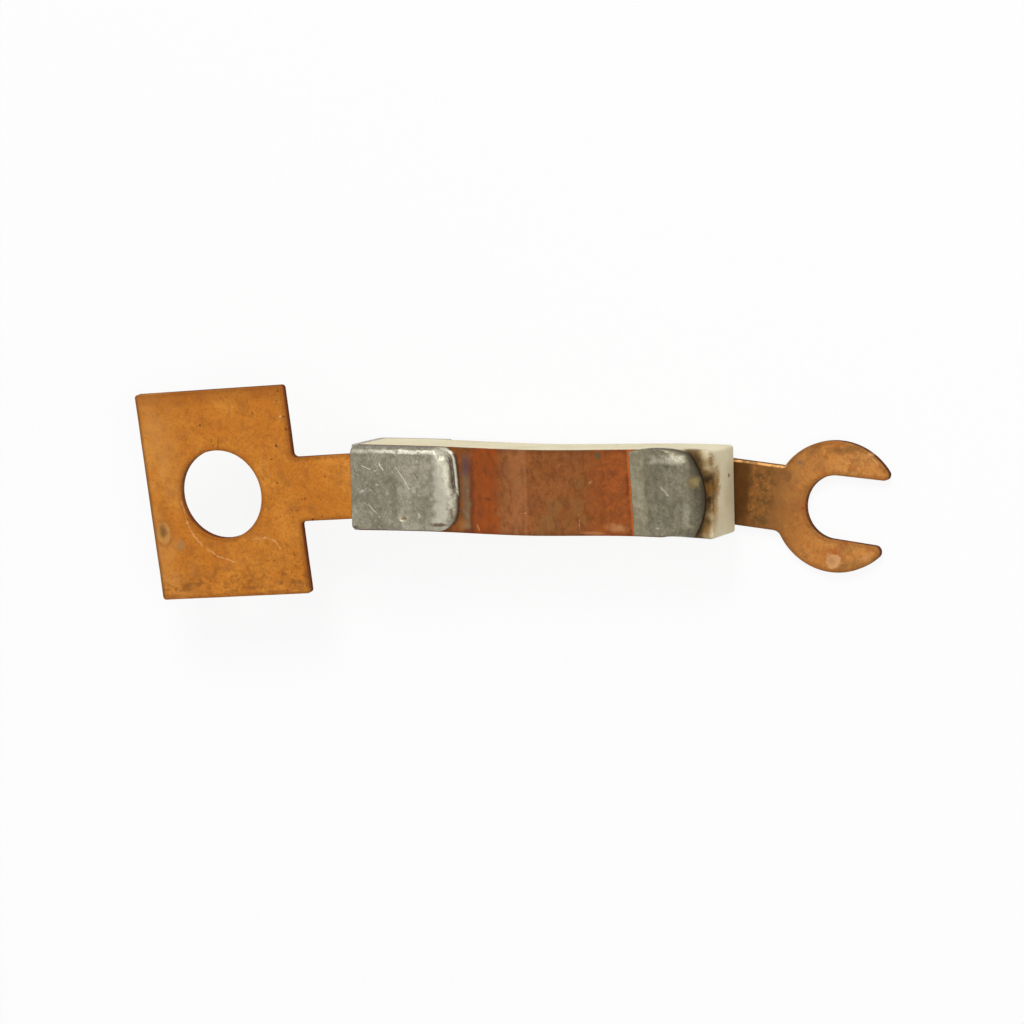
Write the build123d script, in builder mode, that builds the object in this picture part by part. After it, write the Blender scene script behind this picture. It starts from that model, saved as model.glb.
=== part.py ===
"""Thermal fuse: a ceramic bar with a copper strip, two copper terminals and two solder masses.

Frame: millimetres, +Z up. The origin is the centre of the fork's slot on the surface that the
fuse lies on, and +X is the bar's long direction, pointing from the bar towards the fork.
"""

import os
from math import radians, tan

from build123d import *

# Copper gauges
SHEET = 1.3
STRIP = 1.0

# Block: the ceramic bar and, round its left end, the strip's hook
BLOCK_LENGTH = 56.8
BLOCK_WIDTH = 12.7
BAR_DEPTH = 9.1
BAR_EDGE_RADIUS = 0.45

# The fired bar's long edges waver: stations along half the block, and how far each edge is off true
EDGE_STATIONS = (-1.0, -0.45, 0.0, 0.33, 0.62, 1.0)
UPPER_WAVER = (0.0, -0.12, -0.36, -0.21, 0.0, -0.06)
LOWER_WAVER = (0.05, 0.1, -0.1, 0.12, 0.23, -0.08)

# Link strip
HOOK_RADIUS = 0.3
HOOK_RETURN = 11.6
STRIP_END_SETBACK = 3.8
STRIP_END_RADIUS = 4.0

# Hole terminal
PLATE_WIDTH = 24.8
PLATE_HEIGHT = 31.4
PLATE_CORNER_RADIUS = 0.5
HOLE_DIAMETER = 13.4
HOLE_MARGIN = 12.2
HOLE_DROP = 0.1
NECK_WIDTH = 9.6
NECK_LENGTH = 8.25
NECK_CROSSING = 0.27
SHOULDER_RADIUS = 0.7
SHOULDER_RUN = 0.9
TERMINAL_TURN = 4.1
PLATE_TILT = 5.2
TAB_LAP = 10.4

# Fork terminal: the round edge's centre lies a little off the slot's
FORK_DIAMETER = 19.0
ROUND_SETBACK = 0.1
ROUND_RISE = 0.1
SLOT_WIDTH = 9.25
SLOT_FLARE = 1.1
SHANK_WIDTH = 9.5
SHANK_OFFSET = 0.25
FORK_REACH = 15.33
FORK_TURN = 6.2
SHANK_CROSSING = -0.6
SHANK_LAP = 16.4
UPPER_TIP_RADIUS = 0.8
LOWER_TIP_RADIUS = 0.95
UPPER_THROAT_RADIUS = 0.4
LOWER_THROAT_RADIUS = 1.4

# Solder pad on the left terminal's tab
PAD_INSET = 0.8
PAD_LENGTH = 17.0
PAD_MARGIN = 0.35
PAD_COVER = 0.35
PAD_EDGE_RADIUS = 0.55
PAD_LEFT_RADIUS = 0.6
PAD_LOWER_RADIUS = 2.7
PAD_UPPER_RADIUS = 1.6
PAD_BOW_RADIUS = 30.0

# Fusible joint: a head over the strip's right end and a stem through the bar
JOINT_LENGTH = 12.3
JOINT_SKEW = 0.6
JOINT_NOSE_SETBACK = 0.9
JOINT_SHOULDER_SETBACK = 3.4
JOINT_HEEL_SETBACK = 2.6
JOINT_MARGIN = 0.3
JOINT_BULGE = 0.3
JOINT_COVER = 0.4
JOINT_EDGE_RADIUS = 0.3
STEM_DIAMETER = 4.0
STEM_SETBACK = 7.9
STEM_GAP = 0.02

# Levels above the surface that the fuse lies on
BAR_BACK = SHEET
BAR_FRONT = BAR_BACK + BAR_DEPTH
STRIP_FRONT = BAR_FRONT + STRIP
TAB_FRONT = STRIP_FRONT + SHEET

# Places in the plan of the block, the stem and the left strap
HALF_LENGTH = BLOCK_LENGTH / 2
HALF_WIDTH = BLOCK_WIDTH / 2
BLOCK_X = -(FORK_REACH + HALF_LENGTH)
BLOCK_Y = FORK_REACH * tan(radians(FORK_TURN)) + SHANK_OFFSET - SHANK_CROSSING
BLOCK_PLANE = Plane((BLOCK_X, BLOCK_Y, 0))
STEM_PLACE = (HALF_LENGTH - STEM_SETBACK, SHANK_CROSSING + STEM_SETBACK * tan(radians(FORK_TURN)))
FORK_PLANE = Plane.XY.rotated((0, 0, -FORK_TURN))
SHOULDER = PLATE_WIDTH - HOLE_MARGIN
STUB_LENGTH = SHOULDER_RADIUS + SHOULDER_RUN
STRAP_TO_ROOT = SHOULDER + NECK_LENGTH
STRAP_WAY = Vector(1, 0, 0).rotate(Axis.Z, TERMINAL_TURN)
STRAP_AXIS = Axis((0, 0, 0), STRAP_WAY)
STRAP_ROOT = Vector(BLOCK_X - HALF_LENGTH, BLOCK_Y + NECK_CROSSING, STRIP_FRONT + SHEET / 2)
STRAP_PLANE = Plane(STRAP_ROOT - STRAP_WAY * STRAP_TO_ROOT, x_dir=STRAP_WAY, z_dir=(0, 0, 1))
PLATE_NORMAL = Vector(0, 0, 1).rotate(STRAP_AXIS, PLATE_TILT)
PLATE_PLANE = Plane(STRAP_PLANE.origin, x_dir=STRAP_WAY, z_dir=PLATE_NORMAL)


def waver_edge(side, waver):
    """Points of one long edge of the block, on the side +1 or -1 of its middle."""
    return [(station * HALF_LENGTH, side * HALF_WIDTH + off) for station, off in zip(EDGE_STATIONS, waver)]


def block_outline(level, left=-BLOCK_LENGTH, right=BLOCK_LENGTH, lower=-BLOCK_WIDTH, bow=0, radii=(0, 0, 0)):
    """Plan of the block at a level, cut to limits from its middle, with a bow to its right end.

    The radii are those of both left corners, of the lower right corner and of the upper right one.
    """
    with BuildSketch(BLOCK_PLANE.offset(level)) as outline:
        with BuildLine():
            upper_edge = Spline(*waver_edge(1, UPPER_WAVER))
            lower_edge = Spline(*waver_edge(-1, LOWER_WAVER))
            Line(upper_edge @ 0, lower_edge @ 0)
            Line(upper_edge @ 1, lower_edge @ 1)
        make_face()
        with Locations((left, lower)):
            Rectangle(right - left, BLOCK_WIDTH - lower, align=(Align.MIN, Align.MIN), mode=Mode.INTERSECT)
        if bow:
            with Locations(Location((right - bow, 0, 0), (0, 0, 180))):
                Circle(bow, mode=Mode.INTERSECT)
        if radii[0]:
            fillet(outline.vertices().sort_by(Axis.X)[:2], radii[0])
        for radius, low, high in ((radii[1], -BLOCK_WIDTH, 0), (radii[2], 0, BLOCK_WIDTH)):
            if radius:
                fillet(outline.vertices().filter_by_position(Axis.Y, low, high).sort_by(Axis.X)[-1], radius)
    return outline.sketch


def strip_outline(level):
    """Plan of the link strip's front leg at a level: as wide as the block, with a rounded right end."""
    radii = (0, STRIP_END_RADIUS, STRIP_END_RADIUS)
    return block_outline(level, right=HALF_LENGTH - STRIP_END_SETBACK, radii=radii)


def stem_outline(level, radius):
    """Round plan of the fusible joint's stem at a level."""
    with BuildSketch(BLOCK_PLANE.offset(level)) as outline:
        with Locations(STEM_PLACE):
            Circle(radius)
    return outline.sketch


def hook_profile(inset):
    """Side view of the strip's hook, as far inside its outer face as the inset says."""
    middle = (BAR_BACK + BAR_FRONT) / 2
    with BuildSketch(Plane.XZ.offset(-BLOCK_Y)) as profile:
        with Locations((BLOCK_X + inset, middle)):
            Rectangle(BLOCK_LENGTH, BAR_DEPTH + 2 * (STRIP - inset))
        fillet(profile.vertices().group_by(Axis.X)[0], HOOK_RADIUS + STRIP - inset)
    return profile.sketch


def strap_section(distance, tilt):
    """Cross section of the left strap at a distance from the hole's centre, tilted about the strap."""
    width_way = Vector(0, 0, 1).cross(STRAP_WAY).rotate(STRAP_AXIS, tilt)
    centre = STRAP_PLANE.origin + STRAP_WAY * distance
    with BuildSketch(Plane(centre, x_dir=width_way, z_dir=STRAP_WAY)) as section:
        Rectangle(NECK_WIDTH, SHEET)
    return section.sketch


def tab_outline():
    """Plan of the left strap's tab at mid-thickness, from the block's end to its own under the solder."""
    with BuildSketch(STRAP_PLANE) as outline:
        with Locations((STRAP_TO_ROOT, 0)):
            Rectangle(PAD_INSET + TAB_LAP, NECK_WIDTH, align=(Align.MIN, Align.CENTER))
    return outline.sketch


# Ceramic bar
with BuildPart() as ceramic_bar:
    extrude(block_outline(BAR_BACK, left=STRIP - HALF_LENGTH), amount=BAR_DEPTH)
    fillet(ceramic_bar.edges(), BAR_EDGE_RADIUS)
    extrude(stem_outline(BAR_BACK, STEM_DIAMETER / 2 + STEM_GAP), amount=BAR_DEPTH, mode=Mode.SUBTRACT)
ceramic_bar.part.label = "ceramic_bar"

# Link strip: front leg, hook round the bar's left end, short return under the back
with BuildPart() as link_strip:
    extrude(hook_profile(0), amount=BLOCK_WIDTH, both=True)
    extrude(hook_profile(STRIP), amount=BLOCK_WIDTH, both=True, mode=Mode.SUBTRACT)
    with BuildSketch(BLOCK_PLANE):
        with Locations((HOOK_RETURN, 0)):
            Rectangle(BLOCK_LENGTH, 2 * BLOCK_WIDTH)
    extrude(amount=(BAR_BACK + BAR_FRONT) / 2, mode=Mode.SUBTRACT)
    extrude(strip_outline(0), amount=TAB_FRONT, mode=Mode.INTERSECT)
    extrude(stem_outline(BAR_FRONT, STEM_DIAMETER / 2 + STEM_GAP), amount=STRIP, mode=Mode.SUBTRACT)
link_strip.part.label = "link_strip"

# Hole terminal: tilted plate, neck that takes up the tilt, flat tab on the strip
with BuildPart() as hole_terminal:
    with BuildSketch(PLATE_PLANE) as plate_outline:
        with Locations((-HOLE_MARGIN, 0)):
            Rectangle(PLATE_WIDTH, PLATE_HEIGHT, align=(Align.MIN, Align.CENTER))
        fillet(plate_outline.vertices(), PLATE_CORNER_RADIUS)
        with Locations((SHOULDER, 0)):
            Rectangle(STUB_LENGTH, NECK_WIDTH, align=(Align.MIN, Align.CENTER))
        shoulder_line = plate_outline.vertices().group_by(Axis.X)[-2]
        fillet(shoulder_line.filter_by_position(Axis.Y, -NECK_WIDTH, NECK_WIDTH), SHOULDER_RADIUS)
        with Locations((0, -HOLE_DROP)):
            Circle(HOLE_DIAMETER / 2, mode=Mode.SUBTRACT)
    extrude(amount=SHEET / 2, both=True)
    loft([strap_section(SHOULDER + STUB_LENGTH, PLATE_TILT), strap_section(STRAP_TO_ROOT, 0)], ruled=True)
    extrude(tab_outline(), amount=SHEET / 2, both=True)
hole_terminal.part.label = "hole_terminal"

# Fork terminal: open fork, shank and a tab under the bar's right end
with BuildPart() as fork_terminal:
    mouth = FORK_DIAMETER / 2
    mouth_half_width = SLOT_WIDTH / 2 + mouth * tan(radians(SLOT_FLARE))
    with BuildSketch(FORK_PLANE) as fork_outline:
        with Locations((-ROUND_SETBACK, ROUND_RISE)):
            Circle(FORK_DIAMETER / 2)
        with Locations((0, SHANK_OFFSET)):
            Rectangle(FORK_REACH + SHANK_LAP, SHANK_WIDTH, align=(Align.MAX, Align.CENTER))
        for throat, radius in ((-1, UPPER_THROAT_RADIUS), (0, LOWER_THROAT_RADIUS)):
            throats = fork_outline.vertices().filter_by_position(Axis.X, -mouth, 0).sort_by(Axis.Y)
            fillet(throats[throat], radius)
        with BuildLine():
            slot_root = [(0, -SLOT_WIDTH / 2), (0, SLOT_WIDTH / 2)]
            Polyline(*slot_root, (mouth, mouth_half_width), (mouth, -mouth_half_width), close=True)
        make_face(mode=Mode.SUBTRACT)
        Circle(SLOT_WIDTH / 2, mode=Mode.SUBTRACT)
        for low, high, radius in ((0, mouth, UPPER_TIP_RADIUS), (-mouth, 0, LOWER_TIP_RADIUS)):
            tips = fork_outline.vertices().filter_by_position(Axis.Y, low, high).sort_by(Axis.X)
            fillet(tips[-1], radius)
    extrude(amount=SHEET)
    extrude(stem_outline(0, STEM_DIAMETER / 2 + STEM_GAP), amount=SHEET, mode=Mode.SUBTRACT)
fork_terminal.part.label = "fork_terminal"

# Solder pad: a thick slab of solder over the strip's left end and the terminal's tab
with BuildPart() as solder_pad:
    pad_left = PAD_INSET - HALF_LENGTH
    pad_limits = (pad_left, pad_left + PAD_LENGTH, PAD_MARGIN - HALF_WIDTH)
    pad_radii = (PAD_LEFT_RADIUS, PAD_LOWER_RADIUS, PAD_UPPER_RADIUS)
    extrude(block_outline(STRIP_FRONT, *pad_limits, PAD_BOW_RADIUS, pad_radii), amount=SHEET + PAD_COVER)
    fillet(solder_pad.faces().sort_by(Axis.Z)[-1].edges(), PAD_EDGE_RADIUS)
    extrude(tab_outline(), amount=SHEET / 2, both=True, mode=Mode.SUBTRACT)
solder_pad.part.label = "solder_pad"

# Fusible joint: head over the strip's rounded end, stem down through strip, bar and tab
with BuildPart() as fusible_joint:
    shoulder = (HALF_LENGTH - JOINT_SHOULDER_SETBACK, HALF_WIDTH - JOINT_MARGIN)
    nose = (HALF_LENGTH - JOINT_NOSE_SETBACK, 0)
    heel = (HALF_LENGTH - JOINT_HEEL_SETBACK, JOINT_MARGIN - HALF_WIDTH)
    upper_root = (HALF_LENGTH - JOINT_LENGTH, HALF_WIDTH - JOINT_MARGIN)
    lower_root = (HALF_LENGTH - JOINT_LENGTH + JOINT_SKEW, JOINT_MARGIN - HALF_WIDTH)
    crest = ((shoulder[0] + upper_root[0]) / 2, HALF_WIDTH + JOINT_BULGE)
    with BuildSketch(BLOCK_PLANE.offset(BAR_FRONT)):
        with BuildLine():
            Line(lower_root, upper_root)
            ThreePointArc(upper_root, crest, shoulder)
            ThreePointArc(shoulder, nose, heel)
            Line(heel, lower_root)
        make_face()
    extrude(amount=STRIP + JOINT_COVER)
    fillet(fusible_joint.faces().sort_by(Axis.Z)[-1].edges(), JOINT_EDGE_RADIUS)
    extrude(strip_outline(BAR_FRONT), amount=STRIP, mode=Mode.SUBTRACT)
    extrude(stem_outline(0, STEM_DIAMETER / 2), amount=STRIP_FRONT)
fusible_joint.part.label = "fusible_joint"

PIECES = (ceramic_bar, link_strip, hole_terminal, fork_terminal, solder_pad, fusible_joint)
os.makedirs("parts", exist_ok=True)
for piece in PIECES:
    export_step(piece.part, f"parts/{piece.part.label}.step")
    box = piece.part.bounding_box()
    print(f"{piece.part.label}: {piece.part.volume:.1f} mm3, from {box.min} to {box.max}")

hole_centre = PLATE_PLANE.origin + PLATE_PLANE.y_dir * -HOLE_DROP
print("bolt hole:", hole_centre, "axis", PLATE_NORMAL)
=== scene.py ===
"""Thermal fuse: the looks of a ceramic bar, its copper strip and terminals, and its two solder masses.

Sizes are in millimetres in the part's own frame, and each finished mesh is written in metres.
"""

import logging
from collections.abc import Callable, Iterable
from dataclasses import dataclass
from enum import Enum
from math import cos, hypot, radians, sin, tan

import bmesh
import bpy
import numpy as np
from mathutils import Matrix, Vector


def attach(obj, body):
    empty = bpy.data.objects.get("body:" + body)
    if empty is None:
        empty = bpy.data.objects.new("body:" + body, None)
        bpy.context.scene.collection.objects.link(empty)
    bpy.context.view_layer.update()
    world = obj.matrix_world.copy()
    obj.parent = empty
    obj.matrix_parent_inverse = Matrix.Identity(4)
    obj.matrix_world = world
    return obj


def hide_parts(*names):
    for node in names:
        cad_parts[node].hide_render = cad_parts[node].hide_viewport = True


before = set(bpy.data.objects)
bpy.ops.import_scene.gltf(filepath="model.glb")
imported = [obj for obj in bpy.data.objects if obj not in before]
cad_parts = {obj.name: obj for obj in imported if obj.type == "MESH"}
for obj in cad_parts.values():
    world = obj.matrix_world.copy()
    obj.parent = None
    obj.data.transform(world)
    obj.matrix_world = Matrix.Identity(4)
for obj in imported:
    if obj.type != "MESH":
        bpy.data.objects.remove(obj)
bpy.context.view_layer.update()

LOG = logging.getLogger("thermal_fuse")
MM = 0.001
Points = np.ndarray
Socket = bpy.types.NodeSocket
Colour = tuple[float, float, float]

SHEET = 1.3
STRIP = 1.0
BLOCK_LENGTH = 56.8
BLOCK_WIDTH = 12.7
BAR_DEPTH = 9.1
FORK_REACH = 15.33
FORK_TURN = 6.2
SHANK_OFFSET = 0.25
SHANK_CROSSING = -0.6

HALF_LENGTH = BLOCK_LENGTH / 2
HALF_WIDTH = BLOCK_WIDTH / 2
BLOCK_X = -(FORK_REACH + HALF_LENGTH)
BLOCK_Y = FORK_REACH * tan(radians(FORK_TURN)) + SHANK_OFFSET - SHANK_CROSSING
BAR_BACK = SHEET
BAR_FRONT = BAR_BACK + BAR_DEPTH
STRIP_FRONT = BAR_FRONT + STRIP


def srgb(red: float, green: float, blue: float) -> tuple[float, float, float, float]:
    """Linear colour of an 8-bit sRGB one, opaque.

    Args:
        red: red, 0 to 255.
        green: green, 0 to 255.
        blue: blue, 0 to 255.

    Returns:
        Red, green, blue and alpha, 0 to 1.
    """
    encoded = np.array([red, green, blue]) / 255.0
    linear = np.where(encoded <= 0.04045, encoded / 12.92, ((encoded + 0.055) / 1.055) ** 2.4)
    return (*linear.tolist(), 1.0)


def arc(centre: Points | tuple[float, float], radius: float, start: float, end: float, count: int) -> Points:
    """Arc in the plane: the centre plus the radius times the cosine and sine of evenly spaced angles.

    Args:
        centre: middle of the arc.
        radius: its radius.
        start: first angle, in degrees.
        end: last angle, in degrees.
        count: how many points.

    Returns:
        Array of count points.
    """
    angles = np.radians(np.linspace(start, end, count))
    return np.column_stack([centre[0] + radius * np.cos(angles), centre[1] + radius * np.sin(angles)])


def bow(start: tuple[float, float], through: tuple[float, float], end: tuple[float, float]) -> Points:
    """Arc through three points: its centre is as far from each of them, which is two linear equations.

    Args:
        start: where the arc begins.
        through: a point on its way.
        end: where it ends.

    Returns:
        Array of 60 points.
    """
    a, b, c = (np.array(point, float) for point in (start, through, end))
    centre = np.linalg.solve(2 * np.array([b - a, c - a]), [b @ b - a @ a, c @ c - a @ a])
    angles = np.unwrap(np.arctan2(*(np.array([a, b, c]) - centre).T[::-1]))
    return arc(centre, hypot(*(a - centre)), np.degrees(angles[0]), np.degrees(angles[2]), 60)


def rounded(corners: list[tuple[float, float]], radii: Iterable[float], steps: int = 10) -> Points:
    """Closed outline of a polygon with each corner replaced by its tangent arc.

    The arc's centre lies on the corner's bisector, at the radius over the sine of half the angle.

    Args:
        corners: the polygon's corners, in order.
        radii: one radius for each corner.
        steps: points on each arc.

    Returns:
        Array of points, without a repeated last one.
    """
    places = np.array(corners, float)
    pieces = []
    for before, corner, after, radius in zip(np.roll(places, 1, 0), places, np.roll(places, -1, 0), radii):
        back = (before - corner) / np.linalg.norm(before - corner)
        ahead = (after - corner) / np.linalg.norm(after - corner)
        half = np.arccos(np.clip(back @ ahead, -1, 1)) / 2
        bisector = (back + ahead) / np.linalg.norm(back + ahead)
        centre = corner + bisector * radius / np.sin(half)
        spokes = corner - centre + np.array([back, ahead]) * radius / np.tan(half)
        start, end = np.unwrap(np.arctan2(spokes[:, 1], spokes[:, 0]))
        pieces.append(arc(centre, radius, np.degrees(start), np.degrees(end), steps))
    return np.vstack(pieces)


def refine(path: Points, step: float, closed: bool) -> Points:
    """The same path with further points on its straight runs, evenly spaced along the whole of it.

    Args:
        path: points of the path.
        step: spacing of the further points.
        closed: whether the last point joins the first.

    Returns:
        Array of points, without a repeated last one on a closed path.
    """
    whole = np.vstack([path, path[:1]]) if closed else path
    along = np.concatenate([[0.0], np.cumsum(np.linalg.norm(np.diff(whole, axis=0), axis=1))])
    stations = np.union1d(along, np.arange(0, along[-1], step))
    near = np.diff(stations, prepend=-1.0) > 0.02
    near[-1] = True
    stations = stations[near][:-1] if closed else stations[near]
    return np.column_stack([np.interp(stations, along, whole[:, axis]) for axis in range(2)])


def left_normals(loop: Points) -> Points:
    """Unit normals on the left of a closed loop: the chord between a point's two neighbours, turned.

    Args:
        loop: the loop's points, (n, 2).

    Returns:
        Array of normals, (n, 2).
    """
    chord = np.roll(loop, -1, 0) - np.roll(loop, 1, 0)
    turned = np.column_stack([-chord[:, 1], chord[:, 0]])
    return turned / np.linalg.norm(turned, axis=1, keepdims=True)


def distance_to(outline: Points, places: Points) -> np.ndarray:
    """Shortest distance from each place to the points of an outline, row by row.

    Args:
        outline: closely spaced points, (n, 2).
        places: points in rows and columns, (rows, columns, 2).

    Returns:
        Array of distances, (rows, columns).
    """
    return np.stack([np.linalg.norm(row[:, None] - outline[None], axis=2).min(axis=1) for row in places])


def ripple(x: np.ndarray, y: np.ndarray, seed: int, wavelength: float, height: float) -> np.ndarray:
    """Gentle unevenness: the sum of sine waves of random heading, phase and nearby wavelengths.

    Args:
        x: first coordinate of each place.
        y: second coordinate.
        seed: which random waves.
        wavelength: middle wavelength.
        height: about the highest rise.

    Returns:
        Array of rises, shaped as x.
    """
    draw = np.random.default_rng(seed)
    headings, phases = draw.uniform(0, 2 * np.pi, (2, 9))
    lengths = wavelength * draw.uniform(0.6, 1.7, 9)
    travel = x[..., None] * np.cos(headings) + y[..., None] * np.sin(headings)
    return np.sin(2 * np.pi * travel / lengths + phases).sum(axis=-1) * height / 4


def ease(value: np.ndarray, low: float, high: float) -> np.ndarray:
    """Smooth step from 0 at low to 1 at high: three squares less two cubes of the share of the way."""
    share = np.clip((value - low) / (high - low), 0, 1)
    return share * share * (3 - 2 * share)


def shoulder(distance: np.ndarray, width: float, power: float = 2.4) -> np.ndarray:
    """Rise of a rounded shoulder from 0 at the edge to 1 a width inside it, as a superellipse."""
    inside = 1 - np.clip(distance / width, 0, 1)
    return (1 - inside**power) ** (1 / power)


def cubic(stations: tuple[float, ...], values: tuple[float, ...], x: np.ndarray) -> np.ndarray:
    """Natural cubic spline through the values: its curvatures solve the usual three-term equations.

    Args:
        stations: where the values stand, rising.
        values: what the curve passes through.
        x: where it is wanted.

    Returns:
        Array of the curve's values, shaped as x.
    """
    at, to = np.array(stations), np.array(values)
    gap = np.diff(at)
    slope = np.diff(to) / gap
    system = np.eye(len(at))
    inner = np.arange(1, len(at) - 1)
    for offset, entry in ((-1, gap[:-1]), (0, 2 * (gap[:-1] + gap[1:])), (1, gap[1:])):
        system[inner, inner + offset] = entry
    bend = np.linalg.solve(system, np.concatenate([[0], 6 * np.diff(slope), [0]]))
    span = np.clip(np.searchsorted(at, x) - 1, 0, len(gap) - 1)
    before, after, wide = x - at[span], at[span + 1] - x, gap[span]
    curve = 0.0
    for end, reach in ((span, after), (span + 1, before)):
        curve = curve + bend[end] * (reach**3 / wide - wide * reach) / 6 + to[end] * reach / wide
    return curve


EDGE_STATIONS = (-1.0, -0.45, 0.0, 0.33, 0.62, 1.0)
UPPER_WAVER = (0.0, -0.12, -0.36, -0.21, 0.0, -0.06)
LOWER_WAVER = (0.05, 0.1, -0.1, 0.12, 0.23, -0.08)


def block_edges(x: np.ndarray) -> tuple[np.ndarray, np.ndarray]:
    """Lower and upper long edges of the wavering block: splines through the waver at each station.

    Args:
        x: places along the block, from its middle.

    Returns:
        The two edges' distances from the middle line, each shaped as x.
    """
    lower = cubic(EDGE_STATIONS, LOWER_WAVER, x / HALF_LENGTH) - HALF_WIDTH
    upper = cubic(EDGE_STATIONS, UPPER_WAVER, x / HALF_LENGTH) + HALF_WIDTH
    return lower, upper


class SocketKind(Enum):
    """Kinds of socket that an effect takes or gives."""

    NUMBER = "NodeSocketFloat"
    VECTOR = "NodeSocketVector"


class Graph:
    """One node tree, with a helper for each kind of node that the finishes use."""

    def __init__(self, tree: bpy.types.NodeTree) -> None:
        """Starts on a tree."""
        self.tree = tree

    def add(self, kind: str, **settings: object) -> bpy.types.Node:
        """Adds a node and sets its properties.

        Args:
            kind: the node's type name.

        Returns:
            The node.
        """
        node = self.tree.nodes.new(kind)
        for name, value in settings.items():
            setattr(node, name, value)
        return node

    def feed(self, socket: Socket, value: "Value") -> None:
        """Links a socket to a field, or sets it where the value is a constant.

        Args:
            socket: the input to feed.
            value: a field, or a constant of the socket's kind.
        """
        if isinstance(value, Field):
            self.tree.links.new(value.socket, socket)
        else:
            socket.default_value = value

    def make(self, kind: str, output: int | str, inputs: dict, **settings: object) -> "Field":
        """Adds a node, feeds its inputs and gives one of its outputs.

        Args:
            kind: the node's type.
            output: number or name of the output.
            inputs: values of its inputs, by number or name.
            settings: the node's properties.

        Returns:
            The output.
        """
        node = self.add(kind, **settings)
        for key, value in inputs.items():
            self.feed(node.inputs[key], value)
        return Field(self, node.outputs[output])

    def math(self, operation: str, *values: "Value") -> "Field":
        """Result of a Math node."""
        return self.make("ShaderNodeMath", 0, dict(enumerate(values)), operation=operation)

    def vector(self, operation: str, *values: "Value", output: int | str = 0, **more: "Value") -> "Field":
        """Result of a Vector Math node: a vector, or a number where the output is "Value"."""
        return self.make("ShaderNodeVectorMath", output, dict(enumerate(values)) | more, operation=operation)

    def turn(self, place: "Value", angle: "Value") -> "Field":
        """A place turned about the Z axis."""
        inputs = {"Vector": place, "Angle": angle}
        return self.make("ShaderNodeVectorRotate", 0, inputs, rotation_type="Z_AXIS")

    def mix(self, share: "Value", base: "Value", over: "Value") -> "Field":
        """Colour between two others."""
        return self.make("ShaderNodeMix", 2, {0: share, 6: base, 7: over}, data_type="RGBA")

    def noise(
        self, place: "Value", scale: "Value", detail: float = 3.0, rough: float = 0.55, output: int | str = 0
    ) -> "Field":
        """A noise texture, where scale is patterns for each millimetre."""
        inputs = {"Vector": place, "Scale": scale, "Detail": detail, "Roughness": rough}
        return self.make("ShaderNodeTexNoise", output, inputs)


@dataclass(frozen=True)
class Field:
    """A value that varies over a surface: an output in a graph, with its arithmetic."""

    graph: Graph
    socket: Socket

    def __add__(self, other: "Value") -> "Field":
        """Sum."""
        return self.graph.math("ADD", self, other)

    def __sub__(self, other: "Value") -> "Field":
        """Difference."""
        return self.graph.math("SUBTRACT", self, other)

    def __rsub__(self, other: "Value") -> "Field":
        """Difference from a constant."""
        return self.graph.math("SUBTRACT", other, self)

    def __mul__(self, other: "Value") -> "Field":
        """Product."""
        return self.graph.math("MULTIPLY", self, other)

    def __truediv__(self, other: "Value") -> "Field":
        """Quotient."""
        return self.graph.math("DIVIDE", self, other)

    def __rtruediv__(self, other: "Value") -> "Field":
        """A constant's quotient."""
        return self.graph.math("DIVIDE", other, self)

    def most(self, other: "Value") -> "Field":
        """The greater of two."""
        return self.graph.math("MAXIMUM", self, other)

    def clamped(self) -> "Field":
        """The same, kept from 0 to 1."""
        return self.graph.make("ShaderNodeClamp", 0, {"Value": self})

    def ramp(self, low: "Value", high: "Value") -> "Field":
        """Smooth step from 0 at low to 1 at high."""
        inputs = {"Value": self, "From Min": low, "From Max": high}
        return self.graph.make("ShaderNodeMapRange", 0, inputs, interpolation_type="SMOOTHSTEP")

    def fall(self, low: "Value", high: "Value") -> "Field":
        """Smooth step from 1 at low to 0 at high."""
        return 1.0 - self.ramp(low, high)

    def part(self, axis: str) -> "Field":
        """One coordinate of a vector."""
        return self.graph.make("ShaderNodeSeparateXYZ", axis, {0: self})


Value = Field | float | tuple
Fields = dict[str, Field]


@dataclass(frozen=True)
class Effect:
    """A node group with named sockets, built once and placed in each finish with its own values."""

    name: str
    takes: dict[str, Value]
    gives: tuple[str, ...]
    fill: Callable[[Graph, Fields], Fields]

    def tree(self) -> bpy.types.NodeTree:
        """The group's node tree, made the first time that it is asked for.

        Returns:
            The tree.
        """
        if self.name in bpy.data.node_groups:
            return bpy.data.node_groups[self.name]
        tree = bpy.data.node_groups.new(self.name, "ShaderNodeTree")
        for name, default in self.takes.items():
            kind = SocketKind.VECTOR if isinstance(default, tuple) else SocketKind.NUMBER
            tree.interface.new_socket(name, in_out="INPUT", socket_type=kind.value).default_value = default
        for name in self.gives:
            tree.interface.new_socket(name, in_out="OUTPUT", socket_type=SocketKind.NUMBER.value)
        graph = Graph(tree)
        entry, leave = graph.add("NodeGroupInput"), graph.add("NodeGroupOutput")
        found = self.fill(graph, {name: Field(graph, entry.outputs[name]) for name in self.takes})
        for name in self.gives:
            graph.feed(leave.inputs[name], found[name])
        return tree

    def place(self, graph: Graph, **given: Value) -> Fields:
        """Places the effect in a graph.

        Args:
            graph: where it goes.
            given: values of its inputs, by name.

        Returns:
            Its outputs, by name.
        """
        node = graph.add("ShaderNodeGroup", node_tree=self.tree())
        for name, value in given.items():
            graph.feed(node.inputs[name], value)
        return {name: Field(graph, node.outputs[name]) for name in self.gives}


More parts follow.
